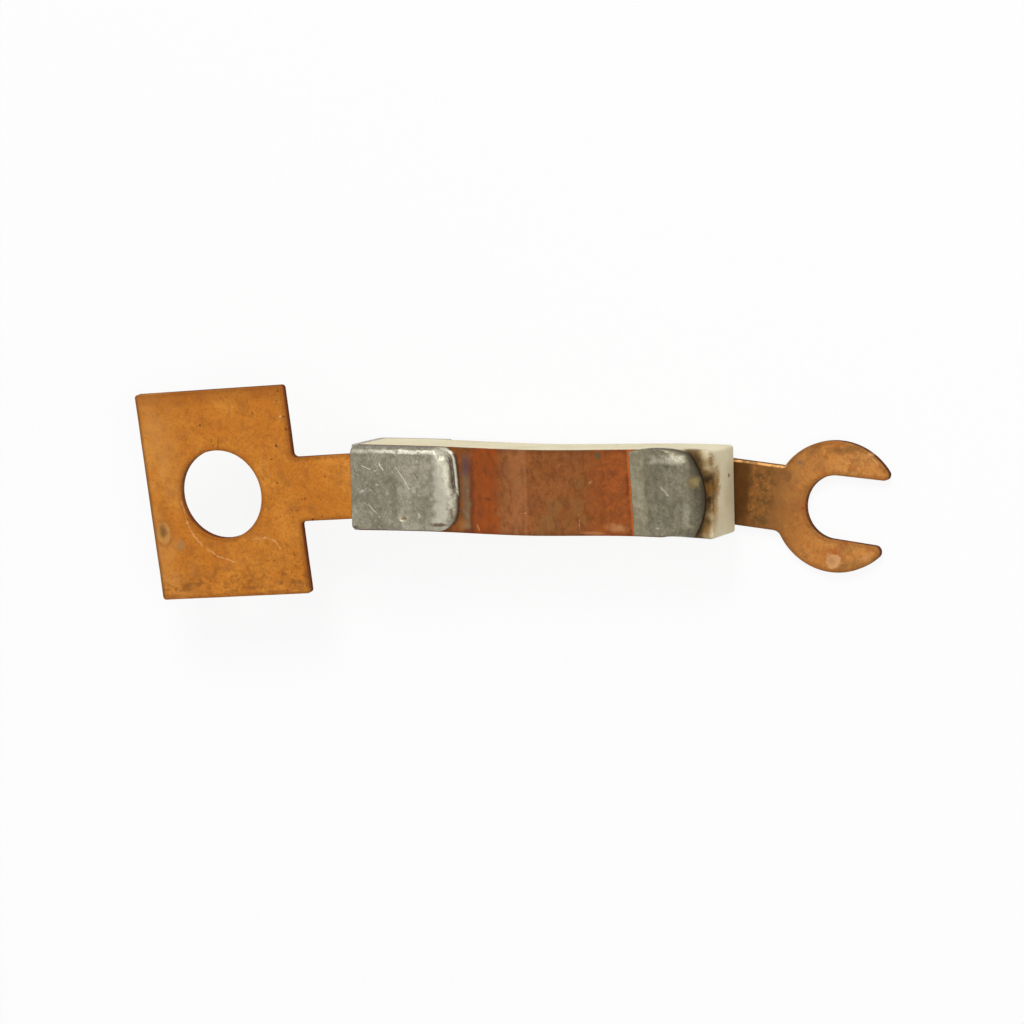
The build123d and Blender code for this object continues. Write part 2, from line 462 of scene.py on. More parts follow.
def fill_mottle(graph: Graph, given: Fields) -> Fields:
    """Cloudy patches: a noise of the given size, cut softly between two levels.

    Args:
        graph: the group's nodes.
        given: its inputs, by name.

    Returns:
        Its outputs, by name.
    """
    place = graph.vector("MULTIPLY", given["Place"], given["Stretch"])
    value = graph.noise(place, 1.0 / given["Size"], 5.0, 0.6)
    return {"Amount": value.ramp(given["Low"], given["High"]), "Value": value}


def fill_specks(graph: Graph, given: Fields) -> Fields:
    """Scattered dots: cells whose random number is under the share hold a dot of random width.

    Args:
        graph: the group's nodes.
        given: its inputs, by name.

    Returns:
        Its outputs, by name.
    """
    cells = graph.add("ShaderNodeTexVoronoi")
    graph.feed(cells.inputs["Vector"], given["Place"])
    graph.feed(cells.inputs["Scale"], 1.0 / given["Spacing"])
    chance, away = Field(graph, cells.outputs["Color"]), Field(graph, cells.outputs["Distance"])
    width = chance.part("Y") * given["Width"]
    held = graph.math("LESS_THAN", chance.part("X"), given["Share"])
    return {"Amount": away.fall(width * 0.4, width) * held}


def fill_hairs(graph: Graph, given: Fields) -> Fields:
    """Fine scratches that lie one way: a turned, stretched noise cut near its top, broken by another one.

    Args:
        graph: the group's nodes.
        given: its inputs, by name.

    Returns:
        Its outputs, by name.
    """
    line = graph.vector("MULTIPLY", graph.turn(given["Place"], given["Turn"]), (0.6, 6.0, 2.0))
    gaps = graph.noise(given["Place"], 0.6, 2.0).ramp(0.4, 0.6)
    return {"Amount": graph.noise(line, 1.0, 3.0, 0.5).ramp(given["Level"], given["Level"] + 0.05) * gaps}


def fill_patch(graph: Graph, given: Fields) -> Fields:
    """A ragged oval: distance from its middle in units of its half widths, disturbed by a noise.

    Args:
        graph: the group's nodes.
        given: its inputs, by name.

    Returns:
        Its outputs, by name.
    """
    away = graph.vector("DIVIDE", graph.vector("SUBTRACT", given["Place"], given["Middle"]), given["Reach"])
    noise = graph.noise(given["Place"], 1.1 / given["Reach"].part("X"), 4.0, 0.6) - 0.5
    level = graph.vector("LENGTH", away, output="Value") + noise * (given["Ragged"] * 2.4)
    return {"Fill": level.fall(1.0 - given["Soft"], 1.0)}


def fill_scratch(graph: Graph, given: Fields) -> Fields:
    """A scratch: distance to a line's nearest point, the line wavering, and thinning where noise is low.

    Args:
        graph: the group's nodes.
        given: its inputs, by name.

    Returns:
        Its outputs, by name.
    """
    stir = graph.vector("SUBTRACT", graph.noise(given["Place"], 0.4, 2.0, 0.5, "Color"), (0.5, 0.5, 0.5))
    waver = graph.vector("SCALE", stir, Scale=0.45)
    place = graph.vector("MULTIPLY", graph.vector("ADD", given["Place"], waver), FLAT)
    line = graph.vector("SUBTRACT", given["End"], given["Start"])
    away = graph.vector("SUBTRACT", place, given["Start"])
    square = graph.vector("DOT_PRODUCT", line, line, output="Value")
    along = graph.vector("DOT_PRODUCT", away, line, output="Value")
    nearest = graph.vector("SCALE", line, Scale=(along / square).clamped())
    gap = graph.vector("DISTANCE", away, nearest, output="Value")
    wide = given["Width"] * (graph.noise(given["Place"], 1.8, 2.0).ramp(0.32, 0.62) * 1.3)
    return {"Amount": gap.fall(wide * 0.2, wide + 0.001)}


def fill_band(graph: Graph, given: Fields) -> Fields:
    """A band with ragged sides: a coordinate, disturbed by noise, between two levels.

    Args:
        graph: the group's nodes.
        given: its inputs, by name.

    Returns:
        Its outputs, by name.
    """
    level = given["Level"] + (graph.noise(given["Place"], 0.9, 5.0) - 0.5) * given["Ragged"]
    rise = level.ramp(given["From"], given["From"] + given["Soft"])
    return {"Amount": rise * level.fall(given["To"] - given["Soft"], given["To"])}


ORIGIN = (0.0, 0.0, 0.0)
EVEN = (1.0, 1.0, 1.0)
FLAT = (1.0, 1.0, 0.0)
MOTTLE = Effect(
    "mottle",
    {"Place": ORIGIN, "Stretch": EVEN, "Size": 4.0, "Low": 0.4, "High": 0.6},
    ("Amount", "Value"),
    fill_mottle,
)
SPECKS = Effect(
    "specks", {"Place": ORIGIN, "Spacing": 2.0, "Width": 0.2, "Share": 0.4}, ("Amount",), fill_specks
)
HAIRS = Effect("hairs", {"Place": ORIGIN, "Turn": 0.0, "Level": 0.62}, ("Amount",), fill_hairs)
PATCH = Effect(
    "patch",
    {"Place": ORIGIN, "Middle": ORIGIN, "Reach": EVEN, "Soft": 0.5, "Ragged": 0.6},
    ("Fill",),
    fill_patch,
)
SCRATCH = Effect(
    "scratch", {"Place": ORIGIN, "Start": ORIGIN, "End": EVEN, "Width": 0.15}, ("Amount",), fill_scratch
)
BAND = Effect(
    "band",
    {"Place": ORIGIN, "Level": 0.0, "From": 0.0, "To": 1.0, "Soft": 0.5, "Ragged": 0.5},
    ("Amount",),
    fill_band,
)


@dataclass(frozen=True)
class Blot:
    """A discoloured spot or a pit: its middle, half widths, colour and strength, in millimetres.

    It stands at its finish's level less its sink, and reaches as deep as its finish or itself says.
    """

    x: float
    y: float
    wide: float
    tall: float
    colour: Colour
    strength: float = 0.8
    soft: float = 0.6
    ragged: float = 0.6
    depth: float = 0.0
    sink: float = 0.0
    deep: float | None = None


@dataclass(frozen=True)
class Mark:
    """A scratch on the front between two places: its width, colour, strength and depth."""

    start: tuple[float, float]
    end: tuple[float, float]
    width: float
    colour: Colour
    strength: float = 0.7
    depth: float = 0.4


class Painter:
    """Paints one material: holds its graph, the place on the piece in millimetres, and the coat so far."""

    def __init__(self, graph: Graph) -> None:
        """Starts with a bare white coat.

        Args:
            graph: the material's graph.
        """
        self.graph = graph
        where = Field(graph, graph.add("ShaderNodeTexCoord").outputs["Object"])
        self.place = graph.vector("SCALE", where, Scale=1 / MM)
        self.x, self.y, self.z = (self.place.part(axis) for axis in "XYZ")
        self.colour: Value = srgb(255, 255, 255)
        self.rough: Value = 0.5
        self.metal: Value = 0.0
        self.height: Value = 0.0

    @property
    def edge(self) -> Field:
        """Distance from the cut edge: over 0 in front, 0 to minus the thickness on the edge, less behind."""
        return Field(self.graph, self.graph.add("ShaderNodeAttribute", attribute_name="edge").outputs["Fac"])

    def mottle(self, size: float, low: float, high: float, stretch: tuple = EVEN) -> tuple[Field, Field]:
        """Cloudy patches, and the noise that they are cut from.

        Args:
            size: about how large the patches are.
            low: level of the noise where a patch begins.
            high: level where it is full.
            stretch: how often the patches repeat along each axis.

        Returns:
            The patches, from 0 to 1, and the noise.
        """
        found = MOTTLE.place(self.graph, Place=self.place, Stretch=stretch, Size=size, Low=low, High=high)
        return found["Amount"], found["Value"]

    def cloud(self, size: float, low: float, high: float, stretch: tuple = EVEN) -> Field:
        """Cloudy patches alone."""
        return self.mottle(size, low, high, stretch)[0]

    def specks(self, spacing: float, width: float, share: float, shift: tuple = ORIGIN) -> Field:
        """Scattered dots: how far apart, how wide, in what share of the cells, and how far shifted."""
        place = self.graph.vector("ADD", self.place, shift)
        return SPECKS.place(self.graph, Place=place, Spacing=spacing, Width=width, Share=share)["Amount"]

    def hairs(self, turn: float, level: float, fineness: float = 1.0) -> Field:
        """Fine scratches that lie one way, fewer at a higher level."""
        place = self.graph.vector("SCALE", self.place, Scale=fineness)
        return HAIRS.place(self.graph, Place=place, Turn=turn, Level=level)["Amount"]

    def band(self, level: Field, start: float, end: float, soft: float, ragged: float = 0.5) -> Field:
        """A band where a coordinate lies from start to end, with soft and ragged sides."""
        given = {"Level": level, "From": start, "To": end, "Soft": soft, "Ragged": ragged}
        return BAND.place(self.graph, Place=self.place, **given)["Amount"]

    def turned(self, centre: tuple[float, float], degrees: float) -> Field:
        """Place seen from a centre, in axes turned by an angle."""
        return self.graph.turn(self.graph.vector("SUBTRACT", self.place, (*centre, 0.0)), radians(degrees))

    def lay(self, share: Field, strength: float, colour: Colour) -> None:
        """Lays a colour over the coat, as strongly as the share says."""
        self.colour = self.graph.mix(share * strength, self.colour, srgb(*colour))

    def blot(self, blot: Blot, level: float, deep: float) -> None:
        """Lays a blot over the coat and sinks it where it has a depth.

        Args:
            blot: its place, reach, colour and strength.
            level: level of the piece's front.
            deep: reach through the piece where the blot has none of its own.
        """
        found = PATCH.place(
            self.graph,
            Place=self.place,
            Middle=(blot.x, blot.y, level - blot.sink),
            Reach=(blot.wide, blot.tall, blot.deep or deep),
            Soft=blot.soft,
            Ragged=blot.ragged,
        )["Fill"]
        self.lay(found, blot.strength, blot.colour)
        if blot.depth:
            self.height = self.height - found * blot.depth

    def scratch(self, mark: Mark, front: Field) -> None:
        """Lays a scratch over the coat, on the front alone, and sinks it.

        Args:
            mark: its two ends, width, colour and strength.
            front: 1 on the front, else 0.
        """
        start, end = (*mark.start, 0.0), (*mark.end, 0.0)
        found = SCRATCH.place(self.graph, Place=self.place, Start=start, End=end, Width=mark.width)["Amount"]
        found = found * front
        self.lay(found, mark.strength, mark.colour)
        self.height = self.height - found * mark.depth


@dataclass(frozen=True)
class Finish:
    """A procedural finish: subclasses paint it, and marks are laid over what they paint."""

    title: str
    slot: str
    blots: tuple[Blot, ...] = ()
    marks: tuple[Mark, ...] = ()
    level: float = 0.0
    deep: float = 2.0
    bump: float = 0.05
    specular: float = 0.5

    def paint(self, on: Painter) -> None:
        """Lays the finish down, before its marks.

        Args:
            on: the painter of the material.
        """
        raise NotImplementedError

    def material(self) -> bpy.types.Material:
        """Makes the material, with the finish on a Principled shader.

        Returns:
            The material.
        """
        made = bpy.data.materials.new(self.title)
        made.use_nodes = True
        on = Painter(Graph(made.node_tree))
        self.paint(on)
        for blot in self.blots:
            on.blot(blot, self.level, self.deep)
        if self.marks:
            front = on.edge.ramp(-0.15, -0.05)
            for mark in self.marks:
                on.scratch(mark, front)
        shape = {"Distance": self.bump * MM, "Strength": 1.0, "Height": on.height}
        looks = {
            "Base Color": on.colour,
            "Roughness": on.rough,
            "Metallic": on.metal,
            "Normal": on.graph.make("ShaderNodeBump", 0, shape),
            "Specular IOR Level": self.specular,
        }
        for name, value in looks.items():
            on.graph.feed(made.node_tree.nodes["Principled BSDF"].inputs[name], value)
        return made

    def dress(self, piece: bpy.types.Object) -> None:
        """Puts the finish on a piece and ties the piece to the body.

        Args:
            piece: the piece, which has no material yet.
        """
        piece.data.materials.clear()
        piece.data.materials.append(self.material())
        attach(piece, "root")
        LOG.info("%s dressed in %s", piece.name, self.title)


@dataclass(frozen=True)
class AgedCopper(Finish):
    """Stamped copper gone brown in places, with fine scratches, and painted shade darkening its rims and cut
    edges.
    """

    specular: float = 0.2
    body: Colour = (197, 121, 40)
    warm: Colour = (209, 136, 52)
    brown: Colour = (148, 84, 30)
    # painted shade: the cut edges' walls are given darker copper than the front
    wall: Colour = (142, 72, 20)
    wall_dark: Colour = (80, 38, 12)
    copper_pit_and_edge_shade: Colour = (88, 54, 24)
    hair: Colour = (222, 164, 98)
    thickness: float = SHEET
    cloud_share: float = 0.34

    def paint(self, on: Painter) -> None:
        """Two sizes of cloud over copper, fine grain, painted shade along the rims, pits and crossing hair
        scratches.

        Args:
            on: the material's painter.
        """
        edge = on.edge
        on.colour = on.graph.mix(on.cloud(8.0, 0.4, 0.62), srgb(*self.body), srgb(*self.warm))
        cloud, cloud_noise = on.mottle(2.2, 0.46, 0.68)
        grain, grain_noise = on.mottle(0.42, 0.38, 0.72)
        on.lay(cloud, self.cloud_share, self.brown)
        on.lay(grain, 0.4, self.brown)
        on.lay(on.cloud(0.9, 0.52, 0.66), self.cloud_share, self.brown)
        hairs = on.hairs(0.9, 0.63).most(on.hairs(-0.5, 0.64))
        on.lay(hairs, 0.24, self.hair)
        # painted shade: the front darkens towards the rounded cut edge
        rim = (edge + (cloud_noise - 0.5) * 1.2).fall(-0.1, 0.7)
        on.lay(rim, 0.35, self.copper_pit_and_edge_shade)
        pits = on.specks(spacing=1.7, width=0.13, share=0.3)
        on.lay(pits, 0.75, self.copper_pit_and_edge_shade)
        # painted shade on the walls, darker still in a ragged band towards the back
        shear, shear_noise = on.mottle(0.7, 0.3, 0.7, stretch=(1.0, 1.0, 0.5))
        torn_band_shade = (edge + (shear_noise - 0.5) * 0.8).fall(-0.8, -0.45) * (shear * 0.3 + 0.7)
        side = edge.fall(-0.3, -0.1) * edge.ramp(-self.thickness - 0.02, 0.1 - self.thickness)
        wall = on.graph.mix(torn_band_shade, srgb(*self.wall), srgb(*self.wall_dark))
        on.colour = on.graph.mix(side, on.colour, wall)
        on.rough = (cloud_noise * 0.22 + 0.36 + rim * 0.25 + side * 0.4).clamped()
        on.metal = (0.75 - cloud * 0.3) * (1.0 - side)
        on.height = grain_noise * 0.5 + cloud_noise * 0.5 - pits * 0.8 - hairs * 0.15


@dataclass(frozen=True)
class PlateCopper(AgedCopper):
    """Finish of the left terminal: golden at the left, browner under its upper edge and at its foot."""

    centre: tuple[float, float] = (-92.92, 1.2)
    shift: tuple[float, float, float] = (7.3, 3.1, 0.0)

    def paint(self, on: Painter) -> None:
        """Adds the golden left side, the brown band and foot, a dark left edge and more pits at the right.

        Args:
            on: the material's painter.
        """
        super().paint(on)
        own = on.turned(self.centre, -PlateTerminal.turn)
        along, up = own.part("X"), own.part("Y")
        front = on.edge.ramp(-0.1, 0.0)
        fine = on.cloud(1.2, 0.44, 0.64, stretch=(1.0, 1.6, 1.0))
        on.lay(along.fall(-10.5, -3.0) * on.cloud(5.0, 0.36, 0.6), 0.4, (208, 148, 78))
        on.lay(on.band(up, 13.0, 22.0, soft=1.6, ragged=2.4) * front, 0.42, (150, 84, 30))
        on.lay(up.fall(-15.0, -8.0) * fine, 0.45, (132, 78, 32))
        on.lay(on.band(up, -14.6, -12.0, soft=0.8, ragged=2.0) * fine, 0.35, (110, 70, 34))
        on.lay(along.fall(-12.1, -11.5) * front, 0.6, (112, 78, 42))
        right = along.ramp(2.0, 8.0)
        pits = on.specks(spacing=0.85, width=0.34, share=0.5) * right
        on.lay(pits, 0.6, (110, 62, 24))
        on.lay(on.specks(0.8, 0.22, 0.4, self.shift) * right, 0.4, (226, 164, 90))
        corner = up.ramp(6.0, 12.0) * along.ramp(9.0, 12.0)
        on.lay(on.specks(0.5, 0.4, 0.4) * corner, 0.6, (104, 60, 26))
        on.lay(on.specks(0.6, 0.3, 0.3, self.shift) * corner, 0.6, (232, 176, 110))
        on.height = on.height - pits * 0.8


@dataclass(frozen=True)
class ForkCopper(AgedCopper):
    """Finish of the right terminal: darkened beside the bar by burn and by the bar's painted shade, clearing
    towards the fork.
    """

    def paint(self, on: Painter) -> None:
        """Adds the burn and painted shade beside the bar, the flecked zone, the slow fade to the fork,
        painted shade along the edges and a painted highlight on the neck's upper edge.

        Args:
            on: the material's painter.
        """
        super().paint(on)
        own = on.turned((0.0, 0.0), FORK_TURN)
        along, edge = own.part("X"), on.edge
        level = along + (on.graph.noise(on.place, 0.6, 5.0) - 0.5) * 3.0
        cloud = on.cloud(1.3, 0.42, 0.6)
        # partly painted shade: the neck darkens towards the bar, which shades it, over real burn
        on.lay(level.fall(-10.0, -2.5), 0.8, (134, 88, 44))
        on.lay(level.fall(-11.0, -8.0) * cloud, 0.75, (98, 70, 36))
        flecked = on.cloud(0.8, 0.56, 0.66) * on.band(along, -13.6, -9.8, soft=0.5, ragged=1.2)
        on.lay(flecked, 0.6, (180, 122, 58))
        # painted shade in the dark band at the neck's root beside the bar
        on.lay(along.fall(-13.9, -12.7), 0.85, (92, 58, 26))
        on.lay(on.cloud(1.9, 0.54, 0.64) * along.ramp(-8.0, -5.0), 0.4, (168, 88, 34))
        # painted shade: darker within a few millimetres of the cut edge
        on.lay(edge.fall(0.2, 2.6) * on.cloud(3.0, 0.5, 0.7), 0.5, (116, 76, 38))
        # painted highlight along the neck's rounded upper edge
        neck = own.part("Y").ramp(3.0, 4.0) * along.fall(-9.0, -7.5)
        neck_edge_highlight = on.band(edge, -0.2, 0.16, soft=0.12, ragged=0.15) * neck * (cloud + 0.35)
        on.lay(neck_edge_highlight.clamped(), 0.85, (244, 190, 118))


@dataclass(frozen=True)
class StripCopper(AgedCopper):
    """Finish of the strip: heat-reddened copper with a tinned stain beside the pad and a tinned hook."""

    tin: Colour = (184, 180, 168)

    def paint(self, on: Painter) -> None:
        """Adds khaki and orange clouds, the stain and its coloured sides, the reds and the tinned hook.

        Args:
            on: the material's painter.
        """
        super().paint(on)
        khaki, glow, ember = on.cloud(3.2, 0.5, 0.66), on.cloud(1.8, 0.42, 0.66), on.cloud(0.7, 0.5, 0.62)
        shade = on.cloud(1.6, 0.48, 0.64, stretch=(1.6, 0.8, 1.0))
        red = on.band(on.x, -52.7, -47.8, soft=1.0, ragged=2.2)
        right = on.band(on.x, -35.5, -20.0, soft=4.0, ragged=3.0)
        on.lay(khaki * on.band(on.x, -47.0, -33.0, soft=2.5, ragged=4.0), 0.55, (134, 96, 52))
        on.lay(on.x.ramp(-49.5, -44.5) * on.x.fall(-43.9, -43.5), 0.4, (170, 112, 70))
        on.lay(red, 0.6, (142, 62, 20))
        on.lay(red * glow, 0.5, (170, 80, 20))
        on.lay(right, 0.45, (134, 64, 26))
        on.lay(right * glow, 0.5, (170, 88, 38))
        on.lay(shade, 0.45, (106, 58, 28))
        on.lay(ember * right, 0.4, (178, 92, 40))
        on.lay(on.y.ramp(7.0, 9.0) * khaki, 0.4, (100, 60, 34))
        purple = on.band(on.x, -54.3, -51.7, soft=0.8, ragged=1.4) * on.y.fall(5.5, 8.5)
        on.lay(purple, 0.6, (94, 44, 28))
        violet = on.band(on.x, -54.3, -52.4, soft=0.7, ragged=1.0)
        on.lay(violet * on.y.ramp(3.8, 5.4) * on.y.fall(6.8, 8.4), 0.55, (84, 70, 80))
        stain = on.band(on.x, -54.2, -52.5, soft=0.5, ragged=0.9) * on.y.ramp(-3.4, -2.6)
        on.lay(stain * on.y.fall(3.4, 6.2) * (glow + 0.7), 0.75, (128, 106, 78))
        on.lay(on.band(on.x + on.y * 0.055, -27.6, -26.6, soft=0.25, ragged=0.3), 0.5, (204, 108, 52))
        tinned = on.x.fall(-71.0, -70.6).most(on.z.fall(4.0, 5.0))
        on.lay(tinned, 0.9, self.tin)
        on.lay(tinned * shade, 0.6, (138, 132, 113))
        on.lay(tinned * ember, 0.4, (206, 202, 186))


@dataclass(frozen=True)
class DullSolder(Finish):
    """Dull grey solder: hammered clouds with painted shade, frosting, scuffs with painted glints, scratches,
    small pits and painted shade at the edges.
    """

    body: Colour = (138, 132, 113)
    light: Colour = (164, 157, 136)
    dark: Colour = (100, 94, 78)
    shine: Colour = (206, 202, 186)
    solder_pit_and_edge_shade: Colour = (62, 52, 40)
    scuff_and_glint_share: float = 0.6
    bump: float = 0.09

    def paint(self, on: Painter) -> None:
        """Clouds of two sizes and frosting over grey, partly standing for the relief's shade, bright scuffs
        that partly stand for glints, and painted shade along the edge and its foot.

        Args:
            on: the material's painter.
        """
        on.colour = on.graph.mix(on.cloud(5.0, 0.38, 0.64), srgb(*self.body), srgb(*self.light))
        crinkle, crinkle_noise = on.mottle(0.9, 0.42, 0.62, stretch=(1.3, 0.8, 1.0))
        frost, frost_noise = on.mottle(0.4, 0.4, 0.7)
        # partly painted shade: the crinkle and frost darks stand for the shade of the hammered relief, over
        # real tone
        on.lay(crinkle, 0.45, self.dark)
        on.lay(frost, 0.4, self.dark)
        # partly painted highlight: bright scuffs stand for glints off the hammered relief as well as wear
        on.lay(on.cloud(0.5, 0.58, 0.7) * on.cloud(3.0, 0.46, 0.56), self.scuff_and_glint_share, self.shine)
        hairs = on.hairs(1.0, 0.61).most(on.hairs(-0.8, 0.61))
        on.lay(hairs, 0.2, self.shine)
        pits = on.specks(spacing=1.3, width=0.14, share=0.35)
        on.lay(pits, 0.7, self.solder_pit_and_edge_shade)
        # painted shade on the walls and the outermost rim of the top
        on.lay(on.band(on.edge, -3.0, 0.16, soft=0.1, ragged=0.1), 0.6, self.solder_pit_and_edge_shade)
        on.rough = crinkle_noise * 0.25 + 0.3
        on.metal = 0.7
        on.height = crinkle_noise + frost_noise * 0.5 - pits * 0.8 - hairs * 0.3


@dataclass(frozen=True)
class PadSolder(DullSolder):
    """Finish of the pad: painted highlights on the bevel and right shoulder, and a lip with a painted
    highlight beside a groove of painted shade.
    """

    def paint(self, on: Painter) -> None:
        """Adds the scratched left, painted highlights on the bevel, the shoulder and the lip, and painted
        shade in the groove.

        Args:
            on: the material's painter.
        """
        super().paint(on)
        edge = on.edge
        on.lay(on.x.fall(-67.0, -61.0), 0.25, self.dark)
        for turn in (0.5, -1.2, 2.2):
            on.lay(on.hairs(turn, 0.6, fineness=1.8) * on.x.fall(-63.0, -57.0), 0.45, self.shine)
        # painted highlight along the top bevel
        bevel = on.band(on.y, 7.7, 8.5, soft=0.3, ragged=0.5)
        bevel = (bevel * (on.x.ramp(-69.0, -62.0) + 0.3)).clamped() * (on.cloud(0.8, 0.4, 0.6) + 0.3)
        on.lay(bevel.clamped(), 0.75, (236, 230, 212))
        # painted highlight on the right shoulder, where it curves towards the light
        on.lay(on.band(on.x, -58.4, -54.9, soft=1.4, ragged=3.4), 0.55, (206, 201, 182))
        end = on.x.ramp(-56.4, -55.6) * on.y.ramp(0.6, 3.2)
        # painted shade in the groove behind the lip
        groove = on.band(edge, 0.55, 1.0, soft=0.15, ragged=0.3) * end * on.cloud(1.6, 0.4, 0.55)
        on.lay(groove, 0.75, (88, 66, 42))
        # painted highlight on the lip's rounded edge
        on.lay(on.band(edge, 0.16, 0.5, soft=0.1, ragged=0.1) * end, 0.7, (222, 217, 200))


@dataclass(frozen=True)
class JointAlloy(DullSolder):
    """Finish of the fusible joint: a paler thin band at the left and painted shade on the rim at the right,
    where it falls to the bar.
    """

    def paint(self, on: Painter) -> None:
        """Adds the pale band, the painted highlight on the shoulder and the painted shade of the rim.

        Args:
            on: the material's painter.
        """
        super().paint(on)
        band = on.band(on.x, -28.5, -24.6, soft=1.0, ragged=1.4)
        on.lay(band, 0.35, (150, 140, 112))
        on.lay(band * on.cloud(1.2, 0.44, 0.62), 0.4, (166, 158, 132))
        # painted highlight on the upper shoulder
        lit = on.band(on.y, 6.7, 8.6, soft=0.7, ragged=0.7) * on.band(on.x, -25.0, -18.4, soft=1.4)
        on.lay(lit * on.cloud(2.4, 0.34, 0.56), 0.42, (200, 194, 174))
        # painted shade: darker towards the nose and upper side, where the alloy falls to the bar
        rim = (on.x - on.edge * 1.3 + on.graph.noise(on.place, 0.6, 4.0) * 3.0).ramp(-20.4, -15.6)
        on.lay((rim * (on.y.ramp(-3.0, 5.0) + 0.5)).clamped(), 0.9, (62, 54, 38))


@dataclass(frozen=True)
class Porcelain(Finish):
    """Unglazed steatite: cream, faintly sandy, handled grey in places and scorched at the right end."""

    specular: float = 0.12
    body: Colour = (224, 214, 181)
    grey: Colour = (199, 188, 150)
    speck: Colour = (140, 110, 70)
    soot: Colour = (56, 38, 14)
    scorch: Colour = (158, 118, 58)
    nose: tuple[float, float] = (BLOCK_X + 17.7, BLOCK_Y - 0.51)
    nose_radius: float = 9.81

    def paint(self, on: Painter) -> None:
        """Sandy grain, greyer clouds, a few brown specks, and a scorched band round the joint's nose.

        Args:
            on: the material's painter.
        """
        broad, broad_noise = on.mottle(8.0, 0.4, 0.7)
        fine, fine_noise = on.mottle(0.5, 0.45, 0.75)
        specks = on.specks(spacing=2.2, width=0.12, share=0.3)
        on.colour = srgb(*self.body)
        on.lay(broad, 0.5, self.grey)
        on.lay(fine, 0.18, self.grey)
        on.lay(specks, 0.6, self.speck)
        flat = on.graph.vector("MULTIPLY", on.place, FLAT)
        away = on.graph.vector("DISTANCE", flat, (*self.nose, 0.0), output="Value") - self.nose_radius
        level = away + (on.graph.noise(on.place, 0.5, 4.0, 0.5) - 0.5) * 3.2
        at_end = on.x.ramp(self.nose[0] + 5.5, self.nose[0] + 7.5)
        bare = at_end * on.z.ramp(BAR_FRONT - 2.6, BAR_FRONT - 0.2)
        on.lay(level.fall(0.4, 3.0) * bare, 0.85, self.scorch)
        on.lay(level.fall(0.0, 1.9) * bare, 0.9, self.soot)
        on.rough = fine_noise * 0.2 + 0.45
        on.height = fine_noise + broad_noise * 0.3 - specks * 0.7


class Shell:
    """Closed skin of one piece, gathered from grids of points, with one value for each point."""

    def __init__(self, name: str) -> None:
        """Starts an empty skin of that name.

        Args:
            name: name of the piece.
        """
        self.name = name
        self.points: list[Points] = []
        self.values: list[np.ndarray] = []
        self.faces: list[np.ndarray] = []
        self.count = 0

    def add(self, points: Points, values: np.ndarray | float, closed: bool = True) -> None:
        """Adds a grid of points, two triangles to a cell.

        Args:
            points: (rows, columns, 3), in millimetres.
            values: the piece's edge value at each point, or one for all.
            closed: whether the last column joins the first.
        """
        rows, columns = points.shape[:2]
        index = self.count + np.arange(rows * columns).reshape(rows, columns)
        right = np.roll(index, -1, axis=1)
        last = columns if closed else columns - 1
        near, far = index[:-1, :last], index[1:, :last]
        near_right, far_right = right[:-1, :last], right[1:, :last]
        cells = np.stack([near, near_right, far_right, near, far_right, far], axis=-1)
        self.faces.append(cells.reshape(-1, 3))
        self.points.append(points.reshape(-1, 3))
        self.values.append(np.broadcast_to(values, (rows, columns)).reshape(-1))
        self.count += rows * columns

    def build(self) -> bpy.types.Object:
        """Welds the grids, turns every face outwards and returns the smooth piece, in metres.

        Returns:
            The piece.
        """
        points, values, faces = np.vstack(self.points), np.concatenate(self.values), np.vstack(self.faces)
        _, first, joined = np.unique(np.round(points, 5), axis=0, return_index=True, return_inverse=True)
        faces = joined.reshape(-1)[faces]
        whole = (faces[:, 0] != faces[:, 1]) & (faces[:, 1] != faces[:, 2]) & (faces[:, 2] != faces[:, 0])
        mesh = bpy.data.meshes.new(self.name)
        mesh.from_pydata((points[first] * MM).tolist(), [], faces[whole].tolist())
        edge = mesh.attributes.new("edge", "FLOAT", "POINT")
        edge.data.foreach_set("value", values[first].astype(np.float32))
        work = bmesh.new()
        work.from_mesh(mesh)
        bmesh.ops.recalc_face_normals(work, faces=work.faces[:])
        open_edges = sum(not edge.is_manifold for edge in work.edges)
        work.to_mesh(mesh)
        work.free()
        mesh.shade_smooth()
        piece = bpy.data.objects.new(self.name, mesh)
        bpy.context.scene.collection.objects.link(piece)
        LOG.info("%s: %d triangles, %d open edges", self.name, len(mesh.polygons), open_edges)
        return piece


@dataclass(frozen=True)
class CutEdge:
    """Edge of a cut sheet: rounded at the front where the punch entered, nearly sharp at the back."""

    thickness: float
    front_radius: float = 0.16
    back_radius: float = 0.07
    steps: int = 6

    def stations(self) -> tuple[np.ndarray, np.ndarray, np.ndarray]:
        """Insets from the outline, heights from mid-thickness and edge values, from the front to the back.

        Returns:
            Three arrays of the same length.
        """
        turn = np.linspace(0, np.pi / 2, self.steps)
        half = self.thickness / 2
        front = (self.front_radius * (1 - np.sin(turn)), half - self.front_radius * (1 - np.cos(turn)))
        wall = np.linspace(front[1][-1], self.back_radius - half, 6)[1:-1]
        back = (self.back_radius * (1 - np.cos(turn)), self.back_radius * (1 - np.sin(turn)) - half)
        insets = np.concatenate([front[0], np.zeros_like(wall), back[0]])
        heights = np.concatenate([front[1], wall, back[1]])
        return insets, heights, heights - half


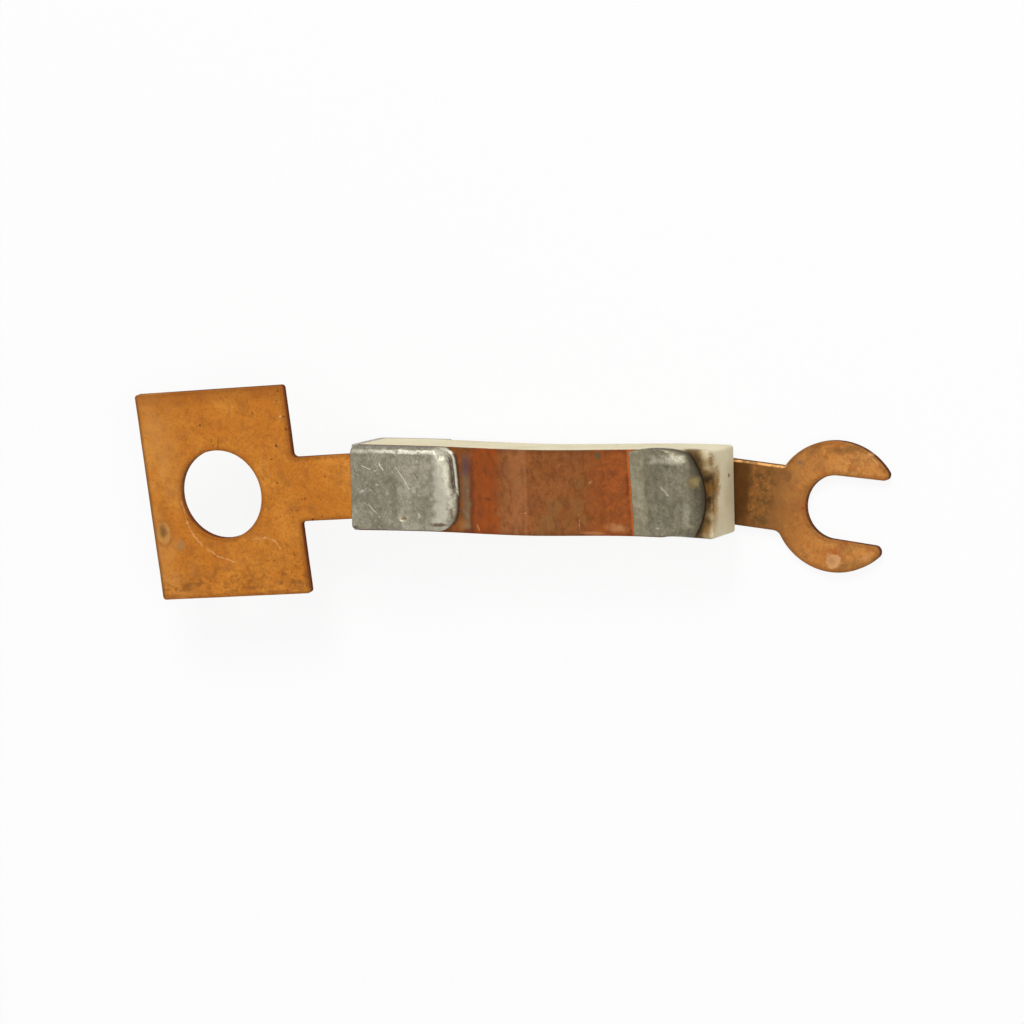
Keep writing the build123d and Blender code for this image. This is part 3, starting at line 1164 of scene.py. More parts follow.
@dataclass
class Stamping:
    """A copper stamping: a flat sheet with an outline round a hole or a slot, then bent into place."""

    thickness: float = SHEET
    edge_radius: float = 0.18
    margin: float = 0.06
    rows: int = 26

    def skin(self, name: str, outer: Points, inner: Points, hole: bool, seed: int) -> Shell:
        """Skin of the sheet between two outlines whose points face each other, index by index.

        The faces are straight lines from each inner point to its outer one, and the cut edges are the
        edge's section carried round the outlines.

        Args:
            name: the piece's name.
            outer: outer outline, anticlockwise.
            inner: inner outline, facing it.
            hole: whether the inner outline is a hole of its own, or the two make one loop.
            seed: which random unevenness.

        Returns:
            The closed skin.
        """
        shell = Shell(name)
        insets, heights, depths = CutEdge(self.thickness, self.edge_radius).stations()
        loops = [outer, inner[::-1]] if hole else [np.vstack([outer, inner[-2:0:-1]])]
        inwards = [left_normals(loop) for loop in loops]
        outline = np.vstack(loops)
        for loop, inward in zip(loops, inwards):
            ring = loop[None] + inward[None] * insets[:, None, None]
            height = np.broadcast_to(heights[:, None], ring.shape[:2])
            shell.add(self.bend(ring, height, seed), depths[:, None])
        from_outer = inwards[0][: len(outer)]
        from_inner = inwards[-1][::-1]
        if not hole:
            from_inner = np.vstack([inwards[0][:1], from_inner[: len(outer) - 2], inwards[0][len(outer) - 1]])
        for side, inset in ((1, insets[0]), (-1, insets[-1])):
            starts, ends = inner + from_inner * inset, outer + from_outer * inset
            flat = self.edge_radius + self.margin
            first, last = inner + from_inner * flat, outer + from_outer * flat
            share = np.linspace(0, 1, self.rows)[:, None, None]
            face = np.concatenate([starts[None], first * (1 - share) + last * share, ends[None]])
            reach = np.clip(distance_to(outline, face) - inset, 0, 8.0)
            reach[[0, -1]] = 0
            values = reach if side > 0 else -self.thickness - reach
            height = np.full(face.shape[:2], side * self.thickness / 2)
            shell.add(self.bend(face, height, seed), values, closed=hole)
        return shell

    def bend(self, flat: Points, height: np.ndarray, seed: int) -> Points:
        """Places points of the flat sheet in the part's frame.

        Args:
            flat: places in the sheet's plane, (rows, columns, 2).
            height: height of each above mid-thickness.
            seed: which random unevenness.

        Returns:
            Points, (rows, columns, 3).
        """
        raise NotImplementedError


@dataclass
class PlateTerminal(Stamping):
    """The left terminal: a tilted plate with a round hole, a neck that takes up the tilt, and a tab."""

    width: float = 24.8
    height: float = 31.4
    corner_radius: float = 0.5
    hole_radius: float = 6.7
    hole_margin: float = 12.2
    hole_drop: float = 0.1
    neck_width: float = 9.6
    neck_length: float = 8.25
    neck_crossing: float = 0.27
    shoulder_radius: float = 0.7
    shoulder_run: float = 0.9
    tab_length: float = 11.2
    turn: float = 4.1
    tilt: float = 5.2

    @property
    def shoulder(self) -> float:
        """Distance from the hole's centre to the plate's shoulder, along the strap."""
        return self.width - self.hole_margin

    @property
    def root(self) -> float:
        """Distance from the hole's centre to the block's end, along the strap."""
        return self.shoulder + self.neck_length

    def bend(self, flat: Points, height: np.ndarray, seed: int) -> Points:
        """Turns the sheet with the strap and tilts it about the strap's middle line.

        The tilt is whole on the plate and eases to none along the neck.

        Args:
            flat: places in the sheet's plane, (rows, columns, 2).
            height: height of each above mid-thickness.
            seed: which random unevenness.

        Returns:
            Points, (rows, columns, 3).
        """
        along, across = flat[..., 0], flat[..., 1]
        untwist = ease(along, self.shoulder + self.shoulder_radius + self.shoulder_run, self.root)
        tilt = np.radians(self.tilt) * (1 - untwist)
        rise = height + ripple(along, across, seed, 9.0, 0.03)
        side = across * np.cos(tilt) - rise * np.sin(tilt)
        way = radians(self.turn)
        root_x, root_y = BLOCK_X - HALF_LENGTH, BLOCK_Y + self.neck_crossing
        x = root_x + (along - self.root) * cos(way) - side * sin(way)
        y = root_y + (along - self.root) * sin(way) + side * cos(way)
        z = STRIP_FRONT + self.thickness / 2 + across * np.sin(tilt) + rise * np.cos(tilt)
        return np.stack([x, y, z], axis=-1)

    def build(self) -> bpy.types.Object:
        """Builds the terminal: outline round the plate, neck and tab, with the hole's rim facing it.

        Returns:
            The piece.
        """
        half_neck, end, near = self.neck_width / 2, self.root + self.tab_length, self.shoulder
        top, far = self.height / 2, -self.hole_margin
        upper = [(end, half_neck), (near, half_neck), (near, top), (far, top)]
        corners = upper + [(x, -y) for x, y in reversed(upper)]
        radii = [0.3, self.shoulder_radius, self.corner_radius, self.corner_radius]
        outer = refine(rounded(corners, radii + radii[::-1]), 0.3, closed=True)
        bearing = np.arctan2(outer[:, 1] + self.hole_drop, outer[:, 0])
        rim = np.column_stack([np.cos(bearing), np.sin(bearing)]) * self.hole_radius - [0, self.hole_drop]
        piece = self.skin("plate_terminal", outer, rim, hole=True, seed=3).build()
        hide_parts("hole_terminal")
        return piece

    def finish(self) -> "Finish":
        """The plate's finish, with two ringed stains, small pits and scratches.

        Returns:
            The finish.
        """
        pit, pale = (84, 46, 20), (218, 162, 104)
        blots = (
            Blot(-102.6, -5.6, 2.4, 2.2, (150, 84, 32), 0.55, 0.9, 0.6),
            Blot(-103.0, -5.0, 1.55, 2.35, (152, 92, 38), 0.6, 0.3, 0.2),
            Blot(-103.0, -5.0, 1.4, 2.15, (204, 146, 76), 0.75, 0.35, 0.2),
            Blot(-103.1, -4.7, 1.0, 1.6, (120, 84, 44), 0.85, 0.85, 0.4),
            Blot(-100.2, -6.7, 0.9, 1.0, (166, 124, 76), 0.8, 0.6, 0.4),
            Blot(-95.5, 11.6, 0.22, 0.2, pit, 0.9, depth=0.8),
            Blot(-83.1, 8.7, 0.26, 0.26, pit, 0.9, depth=0.8),
            Blot(-83.4, 3.1, 0.2, 0.25, pit, 0.8, depth=0.6),
            Blot(-77.9, -2.3, 0.3, 0.26, pit, 0.9, depth=0.8),
            Blot(-82.1, 13.1, 0.3, 0.16, (226, 190, 140), 0.6, 0.8, 0.9),
            Blot(-81.6, 13.1, 0.35, 0.2, pit, 0.8, 0.7, 0.9, depth=0.6),
            Blot(-81.3, 11.2, 0.4, 0.25, pit, 0.6, 0.8, 0.9, depth=0.4),
        )
        marks = (
            Mark((-99.6, 0.0), (-98.9, -3.2), 0.2, pale, 0.35),
            Mark((-98.9, -3.2), (-97.9, -5.2), 0.26, pale, 0.5),
            Mark((-97.9, -5.2), (-96.2, -7.0), 0.26, pale, 0.55),
            Mark((-96.2, -7.0), (-94.1, -8.2), 0.24, pale, 0.55),
            Mark((-94.1, -8.2), (-91.4, -9.0), 0.22, pale, 0.5),
            Mark((-88.2, -5.5), (-86.0, -5.1), 0.2, pale, 0.5),
            Mark((-86.0, -5.1), (-84.4, -5.7), 0.2, pale, 0.5),
            Mark((-84.4, -5.7), (-83.5, -6.9), 0.2, pale, 0.5),
            Mark((-93.6, 8.2), (-93.9, 9.6), 0.16, pit, 0.5),
            Mark((-92.8, 8.2), (-92.7, 9.9), 0.16, pit, 0.5),
        )
        return PlateCopper("plate_copper", "terminal_copper", blots, marks, level=12.7, deep=4.0)


@dataclass
class ForkTerminal(Stamping):
    """The right terminal: an open fork, a shank and a tab under the bar's back."""

    edge_radius: float = 0.24
    radius: float = 9.5
    round_centre: tuple[float, float] = (-0.1, 0.1)
    slot_radius: float = 4.625
    flare: float = 1.1
    shank_width: float = 9.5
    shank_end: float = 31.73
    tip_radii: tuple[float, float] = (0.8, 0.95)
    throat_radii: tuple[float, float] = (0.4, 1.4)
    corner_radius: float = 0.4

    def meet(self, centre: Points, distance: float, height: float, slope: float, way: int) -> Points:
        """Where a line meets a circle, from the quadratic in the distance along.

        Args:
            centre: the circle's middle.
            distance: its radius.
            height: the line's height at the slot's centre.
            slope: its rise for each unit along.
            way: 1 for the right-hand meeting, -1 for the left-hand one.

        Returns:
            The point.
        """
        rise = height - centre[1]
        square, middle, rest = 1 + slope**2, slope * rise - centre[0], centre[0] ** 2 + rise**2 - distance**2
        x = (-middle + way * (middle**2 - square * rest) ** 0.5) / square
        return np.array([x, height + slope * x])

    def half(self, side: int, tip: float, throat: float) -> Points:
        """Outer outline of one half, worked out as an upper half and turned over for the lower one.

        The tip's centre is a tip radius inside the round edge and above the slot's side, and the
        throat's centre is a throat radius outside the round edge and above the shank.

        Args:
            side: 1 for the upper half, -1 for the lower.
            tip: radius of the prong's tip.
            throat: radius between the round edge and the shank.

        Returns:
            Points from the slot's edge at the tip, round the tip and the fork, to the shank's end corner.
        """
        centre = np.array([self.round_centre[0], side * self.round_centre[1]])
        lean = radians(self.flare)
        shank = self.shank_width / 2 + side * SHANK_OFFSET
        tip_centre = self.meet(centre, self.radius - tip, (self.slot_radius + tip) / cos(lean), tan(lean), 1)
        throat_centre = self.meet(centre, self.radius + throat, shank + throat, 0.0, -1)
        tip_way = np.degrees(np.arctan2(*(tip_centre - centre)[::-1]))
        throat_way = np.degrees(np.arctan2(*(throat_centre - centre)[::-1]))
        corner_centre = np.array([self.corner_radius - self.shank_end, shank - self.corner_radius])
        pieces = [
            arc(tip_centre, tip, self.flare - 90, tip_way, 16),
            arc(centre, self.radius, tip_way, throat_way, 120),
            arc(throat_centre, throat, throat_way - 180, -90, 10),
            arc(corner_centre, self.corner_radius, 90, 180, 10),
        ]
        return np.vstack(pieces) * [1, side]

    def bend(self, flat: Points, height: np.ndarray, seed: int) -> Points:
        """Turns the flat sheet about the slot's centre and lays it on its back.

        Args:
            flat: places in the sheet's plane, (rows, columns, 2).
            height: height of each above mid-thickness.
            seed: which random unevenness.

        Returns:
            Points, (rows, columns, 3).
        """
        along, across = flat[..., 0], flat[..., 1]
        way = radians(-FORK_TURN)
        lift = np.clip(height / self.thickness + 0.5, 0, 1)
        x = along * cos(way) - across * sin(way)
        y = along * sin(way) + across * cos(way)
        z = self.thickness / 2 + height + ripple(along, across, seed, 8.0, 0.025) * lift
        return np.stack([x, y, z], axis=-1)

    def slot_edge(self, outer: Points) -> Points:
        """Slot's edge, each point on the ray from the slot's centre to the outer point of its number.

        A ray meets a flared side at the slot's radius over the difference of the two slopes, and the
        root at the slot's radius. Near the tips the places are spread so that none is repeated.

        Args:
            outer: the outer outline, from one tip round the fork to the other.

        Returns:
            As many points as the outline has.
        """
        bearing = np.unwrap(np.arctan2(outer[:, 1], outer[:, 0]))
        bearing = np.minimum(np.maximum.accumulate(bearing), bearing[-1])
        lean = radians(self.flare)
        steepness = np.maximum(np.abs(np.tan(bearing)) - tan(lean), 1e-6)
        number = np.arange(len(outer))
        from_tip = np.minimum(number, number[::-1]) * 0.004
        limit = np.where(outer[:, 1] > 0, outer[0, 0], outer[-1, 0]) - from_tip
        beside = np.cos(bearing) > 0
        side_x = np.minimum(self.slot_radius / cos(lean) / steepness, limit)
        side_y = np.sign(np.sin(bearing)) * (self.slot_radius / cos(lean) + side_x * tan(lean))
        x = np.where(beside, side_x, self.slot_radius * np.cos(bearing))
        y = np.where(beside, side_y, self.slot_radius * np.sin(bearing))
        slot = np.column_stack([x, y])
        slot[0], slot[-1] = outer[0], outer[-1]
        return slot

    def build(self) -> bpy.types.Object:
        """Builds the terminal from its two halves and the slot between them.

        Returns:
            The piece.
        """
        upper = self.half(1, self.tip_radii[0], self.throat_radii[0])
        lower = self.half(-1, self.tip_radii[1], self.throat_radii[1])
        outer = refine(np.vstack([upper, lower[::-1]]), 0.25, closed=False)
        piece = self.skin("fork", outer, self.slot_edge(outer), hole=False, seed=8).build()
        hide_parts("fork_terminal")
        return piece

    def finish(self) -> "Finish":
        """The fork's finish, with a pale burnt spot and two light ones.

        Returns:
            The finish.
        """
        dark, light = (108, 72, 38), (206, 156, 104)
        blots = (
            Blot(-0.7, -6.8, 1.8, 1.3, (164, 84, 36), 0.7, 0.8, 0.4),
            Blot(-0.5, -7.7, 1.5, 1.35, (206, 154, 102), 0.85, 0.4, 0.6),
            Blot(-0.8, -7.6, 0.8, 0.9, (178, 128, 76), 0.75, 0.8, 0.6),
            Blot(5.2, 7.7, 1.0, 0.6, light, 0.5, 0.9, 0.8),
            Blot(4.4, -7.1, 1.1, 0.8, light, 0.35, 0.9, 0.8),
            Blot(1.6, 8.3, 3.4, 0.8, dark, 0.6, 0.9, 0.9),
            Blot(-7.2, 4.6, 1.3, 1.3, dark, 0.45, 0.9, 0.9),
            Blot(-5.2, 6.4, 0.9, 0.6, (120, 86, 70), 0.5, 0.9, 0.9),
        )
        return ForkCopper(
            "fork_copper",
            "terminal_copper",
            blots,
            (Mark((5.4, 7.6), (6.4, 6.4), 0.16, (222, 174, 120), 0.5, 0.0),),
            level=self.thickness,
            body=(190, 123, 58),
            warm=(204, 140, 72),
            brown=(138, 88, 42),
            wall=(108, 58, 22),
            wall_dark=(60, 32, 12),
            cloud_share=0.42,
        )


@dataclass
class LinkStrip:
    """The copper strip: a front leg along the bar, a hook round its left end and a short return."""

    thickness: float = STRIP
    end_setback: float = 3.8
    end_radius: float = 4.0
    bend_radius: float = 0.8
    hook_return: float = 11.6

    def line(self) -> tuple[Points, Points]:
        """Side view of the strip's middle line, and its outward normals, from the right end to the return's.

        The line is a leg, a quarter circle, the end's straight, a quarter circle and a straight return.

        Returns:
            Places and normals, as (x, z), one row for each station.
        """
        half = self.thickness / 2
        left, front, back = half - HALF_LENGTH, BAR_FRONT + half, BAR_BACK - half
        inner = left + self.bend_radius
        leg = np.linspace(HALF_LENGTH - self.end_setback, inner, 150)
        turn = np.linspace(0, np.pi / 2, 9)[1:]
        end = np.linspace(front - self.bend_radius, back + self.bend_radius, 16)[1:-1]
        home = np.linspace(inner, self.hook_return - HALF_LENGTH, 40)[1:]
        x = np.concatenate([leg, inner - self.bend_radius * np.sin(turn), np.full_like(end, left)])
        x = np.concatenate([x, inner - self.bend_radius * np.cos(np.append(0, turn)), home])
        z = np.concatenate([np.full_like(leg, front), front - self.bend_radius * (1 - np.cos(turn)), end])
        low = back + self.bend_radius * (1 - np.sin(np.append(0, turn)))
        z = np.concatenate([z, low, np.full_like(home, back)])
        line = np.column_stack([x, z])
        step = np.gradient(line, axis=0)
        normal = np.column_stack([step[:, 1], -step[:, 0]])
        return line, normal / np.linalg.norm(normal, axis=1, keepdims=True)

    def build(self) -> bpy.types.Object:
        """Builds the strip: a thin rounded section, as wide as the wavering block, carried along the line.

        Returns:
            The piece.
        """
        line, normal = self.line()
        insets, heights, depths = CutEdge(self.thickness, 0.14, 0.08).stations()
        across = np.linspace(0, 1, 26)
        share = np.concatenate([across, np.ones(len(insets) - 2), across[::-1], np.zeros(len(insets) - 2)])
        inset = np.concatenate([[insets[0]] * 26, insets[1:-1], [insets[-1]] * 26, insets[-2:0:-1]])
        rise = np.concatenate([[heights[0]] * 26, heights[1:-1], [heights[-1]] * 26, heights[-2:0:-1]])
        depth = np.concatenate([[0.0] * 26, depths[1:-1], [depths[-1]] * 26, depths[-2:0:-1]])
        lower, upper = block_edges(np.clip(line[:, 0], -HALF_LENGTH, HALF_LENGTH))
        past = np.clip(line[:, 0] - (HALF_LENGTH - self.end_setback - self.end_radius), 0, self.end_radius)
        rounding = self.end_radius - np.sqrt(self.end_radius**2 - past**2)
        rounding = np.where(line[:, 1] > BAR_FRONT, rounding, 0)
        low, high = (lower + rounding)[:, None], (upper - rounding)[:, None]
        y = low + inset + share * (high - low - 2 * inset)
        lift = rise + ripple(line[:, :1] + 0 * y, y, 5, 10.0, 0.02)
        x = line[:, :1] + normal[:, :1] * lift
        z = line[:, 1:] + normal[:, 1:] * lift
        skin = np.stack([x + BLOCK_X, y + BLOCK_Y, z], axis=-1)
        edge = np.clip(np.minimum(y - low, high - y) - inset, 0, 8.0)
        values = np.where(depth >= 0, edge, np.where(depth <= depths[-1], -self.thickness - edge, depth))
        shell = Shell("strip")
        shell.add(skin, values)
        for end in (0, -1):
            middle = np.broadcast_to(skin[end].mean(axis=0), skin[end].shape)
            shell.add(np.stack([skin[end], middle]), -self.thickness / 2)
        piece = shell.build()
        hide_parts("link_strip")
        return piece

    def finish(self) -> "Finish":
        """The strip's finish, with a grey-green spot, pale patches and scratches.

        Returns:
            The finish.
        """
        dark, pale = (84, 46, 22), (196, 146, 98)
        blots = (
            Blot(-32.5, 8.0, 0.7, 0.75, (92, 80, 54), 0.8, 0.5, 0.5),
            Blot(-29.4, -2.5, 2.4, 0.9, (186, 128, 80), 0.7, 0.8, 0.8),
            Blot(-33.5, -3.3, 3.2, 0.35, (182, 122, 74), 0.6, 0.8, 0.6),
            Blot(-27.9, 3.6, 0.5, 2.2, (118, 50, 22), 0.7, 0.9, 0.8),
            Blot(-53.9, -2.6, 1.6, 1.2, (158, 104, 54), 0.7, 0.9, 0.8),
        )
        marks = (
            Mark((-51.6, -2.6), (-51.3, -3.5), 0.12, pale),
            Mark((-35.6, -0.7), (-35.5, -2.9), 0.14, pale, 0.6),
            Mark((-44.6, -0.7), (-43.9, -0.6), 0.16, pale, 0.6),
            Mark((-33.8, 4.0), (-33.4, 4.3), 0.16, pale, 0.6),
            Mark((-50.0, 1.3), (-49.5, 1.0), 0.2, dark, 0.5),
        )
        return StripCopper(
            "strip_copper",
            "strip_copper",
            blots,
            marks,
            level=STRIP_FRONT,
            body=(144, 86, 42),
            warm=(152, 92, 48),
            brown=(112, 62, 28),
            wall=(110, 62, 30),
            wall_dark=(66, 36, 18),
            hair=(176, 120, 76),
            thickness=self.thickness,
            cloud_share=0.5,
        )


@dataclass
class SolderMass:
    """A mass of solder: a height over each place inside an outline, down to a flat base."""

    rows: int = 90
    step: float = 0.14
    sunk: float = 0.03

    def skin(self, name: str, outline: Points, base: float) -> Shell:
        """Skin whose top is rings shrunk towards the middle, each point as high as height() says.

        Args:
            name: the piece's name.
            outline: closed outline in the block's plane, from its middle.
            base: level of the flat underside.

        Returns:
            The closed skin.
        """
        loop = refine(outline, self.step, closed=True)
        middle = (loop.max(axis=0) + loop.min(axis=0)) / 2
        share = 1 - np.linspace(0, 1, self.rows)[:, None, None] ** 1.5
        rings = middle + (loop - middle)[None] * share
        reach = distance_to(loop, rings)
        reach[0] = 0
        top = self.height(rings[..., 0], rings[..., 1], reach)
        face = np.concatenate([rings + [BLOCK_X, BLOCK_Y], top[..., None]], axis=-1)
        wall = np.stack([face[0], face[0], face[0]])
        wall[1, :, 2] = (top[0] + base) / 2
        wall[2, :, 2] = base
        floor = np.stack([wall[2], np.broadcast_to([*(middle + [BLOCK_X, BLOCK_Y]), base], wall[2].shape)])
        shell = Shell(name)
        shell.add(face, reach)
        shell.add(wall, 0.0)
        shell.add(floor, -1.0)
        return shell

    def height(self, x: np.ndarray, y: np.ndarray, reach: np.ndarray) -> np.ndarray:
        """Level of the top at each place.

        Args:
            x: places along the block, from its middle.
            y: places across it.
            reach: distance of each from the outline.

        Returns:
            Array of levels.
        """
        raise NotImplementedError


@dataclass
class SolderPad(SolderMass):
    """The thick tinned pillow over the left terminal's tab."""

    left: float = -27.6
    right: float = -10.6
    lower: float = -6.0
    upper: float = 6.35
    bow_radius: float = 30.0
    rise: float = 1.65
    corner_radii: tuple[float, ...] = (0.6, 2.7, 1.6, 0.6)
    lip: float = 0.8
    flank_width: float = 2.5
    brink: float = 0.14
    groove_depth: float = 0.16
    bevel_width: float = 1.15
    bevel_foot: float = 0.42
    trough_x: float = -20.9
    trough_width: float = 1.3
    trough_depth: float = 0.09
    dimple_middle: tuple[float, float] = (-19.1, -4.25)
    dimple_reach: tuple[float, float] = (0.55, 0.36)
    dimple_depth: float = 0.1
    dimple_rim: float = 0.05

    def height(self, x: np.ndarray, y: np.ndarray, reach: np.ndarray) -> np.ndarray:
        """A dished top with a lip and a groove at its right end, a bevel above and sharp edges elsewhere.

        Args:
            x: places along the block, from its middle.
            y: places across it.
            reach: distance of each from the outline.

        Returns:
            Array of levels.
        """
        from_end = reach + 6 * (1 - ease(x, self.right - 4.6, self.right - 2.4))
        wave = ripple(y, 0 * y, 41, 3.4, 0.35)
        upper_part = ease(y, -1.4, 1.2)
        lip = self.lip * upper_part
        brink = self.brink * (1 + upper_part)
        inside = from_end - lip
        flank = brink + (1 - brink) * shoulder(np.clip(inside, 0, None), self.flank_width + wave, 2.0)
        groove = self.groove_depth * upper_part * np.exp(-((inside / 0.16) ** 2))
        bevel = shoulder(self.upper - y + ripple(x, 0 * x, 42, 4.0, 0.12), self.bevel_width, 1.9)
        bevel = self.bevel_foot + (1 - self.bevel_foot) * bevel
        tall = self.rise * shoulder(reach, 0.3) * flank * bevel - groove * ease(reach, 0.1, 0.4)
        trough = np.exp(-(((x - self.trough_x) / self.trough_width) ** 2)) * ease(y, -5.5, -2.0)
        (dimple_x, dimple_y), (wide, high) = self.dimple_middle, self.dimple_reach
        away = np.hypot((x - dimple_x) / wide, (y - dimple_y) / high)
        rim = self.dimple_rim * np.exp(-(((away - 1.3) / 0.3) ** 2))
        hollow = self.trough_depth * trough + self.dimple_depth * np.exp(-(away**4)) - rim
        uneven = ripple(x, y, 21, 4.2, 0.05) + ripple(x, y, 22, 1.6, 0.018) + ripple(x, y, 23, 0.8, 0.007)
        return STRIP_FRONT + tall + (uneven - hollow) * ease(reach, 0.1, 0.8)

    def build(self) -> bpy.types.Object:
        """Builds the pad from a four-cornered outline with small left corners and large right ones.

        Returns:
            The piece.
        """
        across, along = (self.lower, self.lower, self.upper, self.upper), (self.left, self.right)
        corners = list(zip(along + along[::-1], across))
        outline = refine(rounded(corners, self.corner_radii, 14), self.step, closed=True)
        sag = self.bow_radius - np.sqrt(self.bow_radius**2 - outline[:, 1] ** 2)
        outline[:, 0] -= sag * ease(outline[:, 0], self.left + 5.0, self.right - 1.5)
        outline[:, 1] += (block_edges(outline[:, 0])[1] - HALF_WIDTH) * ease(outline[:, 1], 0.0, 5.0)
        piece = self.skin("pad", outline, STRIP_FRONT - self.sunk).build()
        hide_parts("solder_pad")
        return piece

    def finish(self) -> "Finish":
        """The pad's finish, with a smudge, a trough, a dark corner, a dimple and scratches.

        Returns:
            The finish.
        """
        shine = (224, 220, 206)
        blots = (
            Blot(-65.1, 4.0, 1.3, 0.8, (106, 99, 82), 0.6, 0.9, 0.8),
            Blot(-64.3, 0.6, 1.1, 4.4, (104, 98, 82), 0.6, 0.9, 0.6),
            Blot(-70.8, -3.2, 0.8, 0.5, (66, 48, 30), 0.8, 0.8, 0.7),
            Blot(-56.9, -2.5, 2.2, 0.4, (84, 64, 38), 0.85, 0.8, 0.9, sink=0.4),
            Blot(-55.2, -1.0, 0.3, 1.4, (96, 76, 48), 0.7, 0.9, 0.9, sink=0.5),
            Blot(-62.8, -1.75, 1.0, 0.6, (186, 178, 152), 0.6, 0.6, 0.6),
            Blot(-62.8, -1.7, 0.6, 0.25, (120, 84, 46), 0.8, 0.6, 0.9),
            Blot(-66.9, 3.2, 0.4, 0.2, shine, 0.6, 0.9, 1.2),
            Blot(-69.3, 2.2, 0.6, 0.4, shine, 0.45, 0.9, 1.2),
            Blot(-60.2, -1.2, 0.3, 0.5, shine, 0.5, 0.9, 1.2),
        )
        marks = (
            Mark((-63.9, 6.0), (-61.6, 2.8), 0.12, shine, 0.5),
            Mark((-66.4, 6.4), (-65.9, 5.4), 0.16, shine, 0.7),
            Mark((-60.9, 5.2), (-60.3, 4.3), 0.14, (84, 76, 62), 0.7),
            Mark((-69.2, 5.9), (-67.1, 5.2), 0.14, shine, 0.5),
            Mark((-68.3, 0.4), (-66.6, -1.6), 0.12, shine, 0.4),
        )
        return PadSolder("pad_solder", "solder", blots, marks, level=STRIP_FRONT + self.rise)


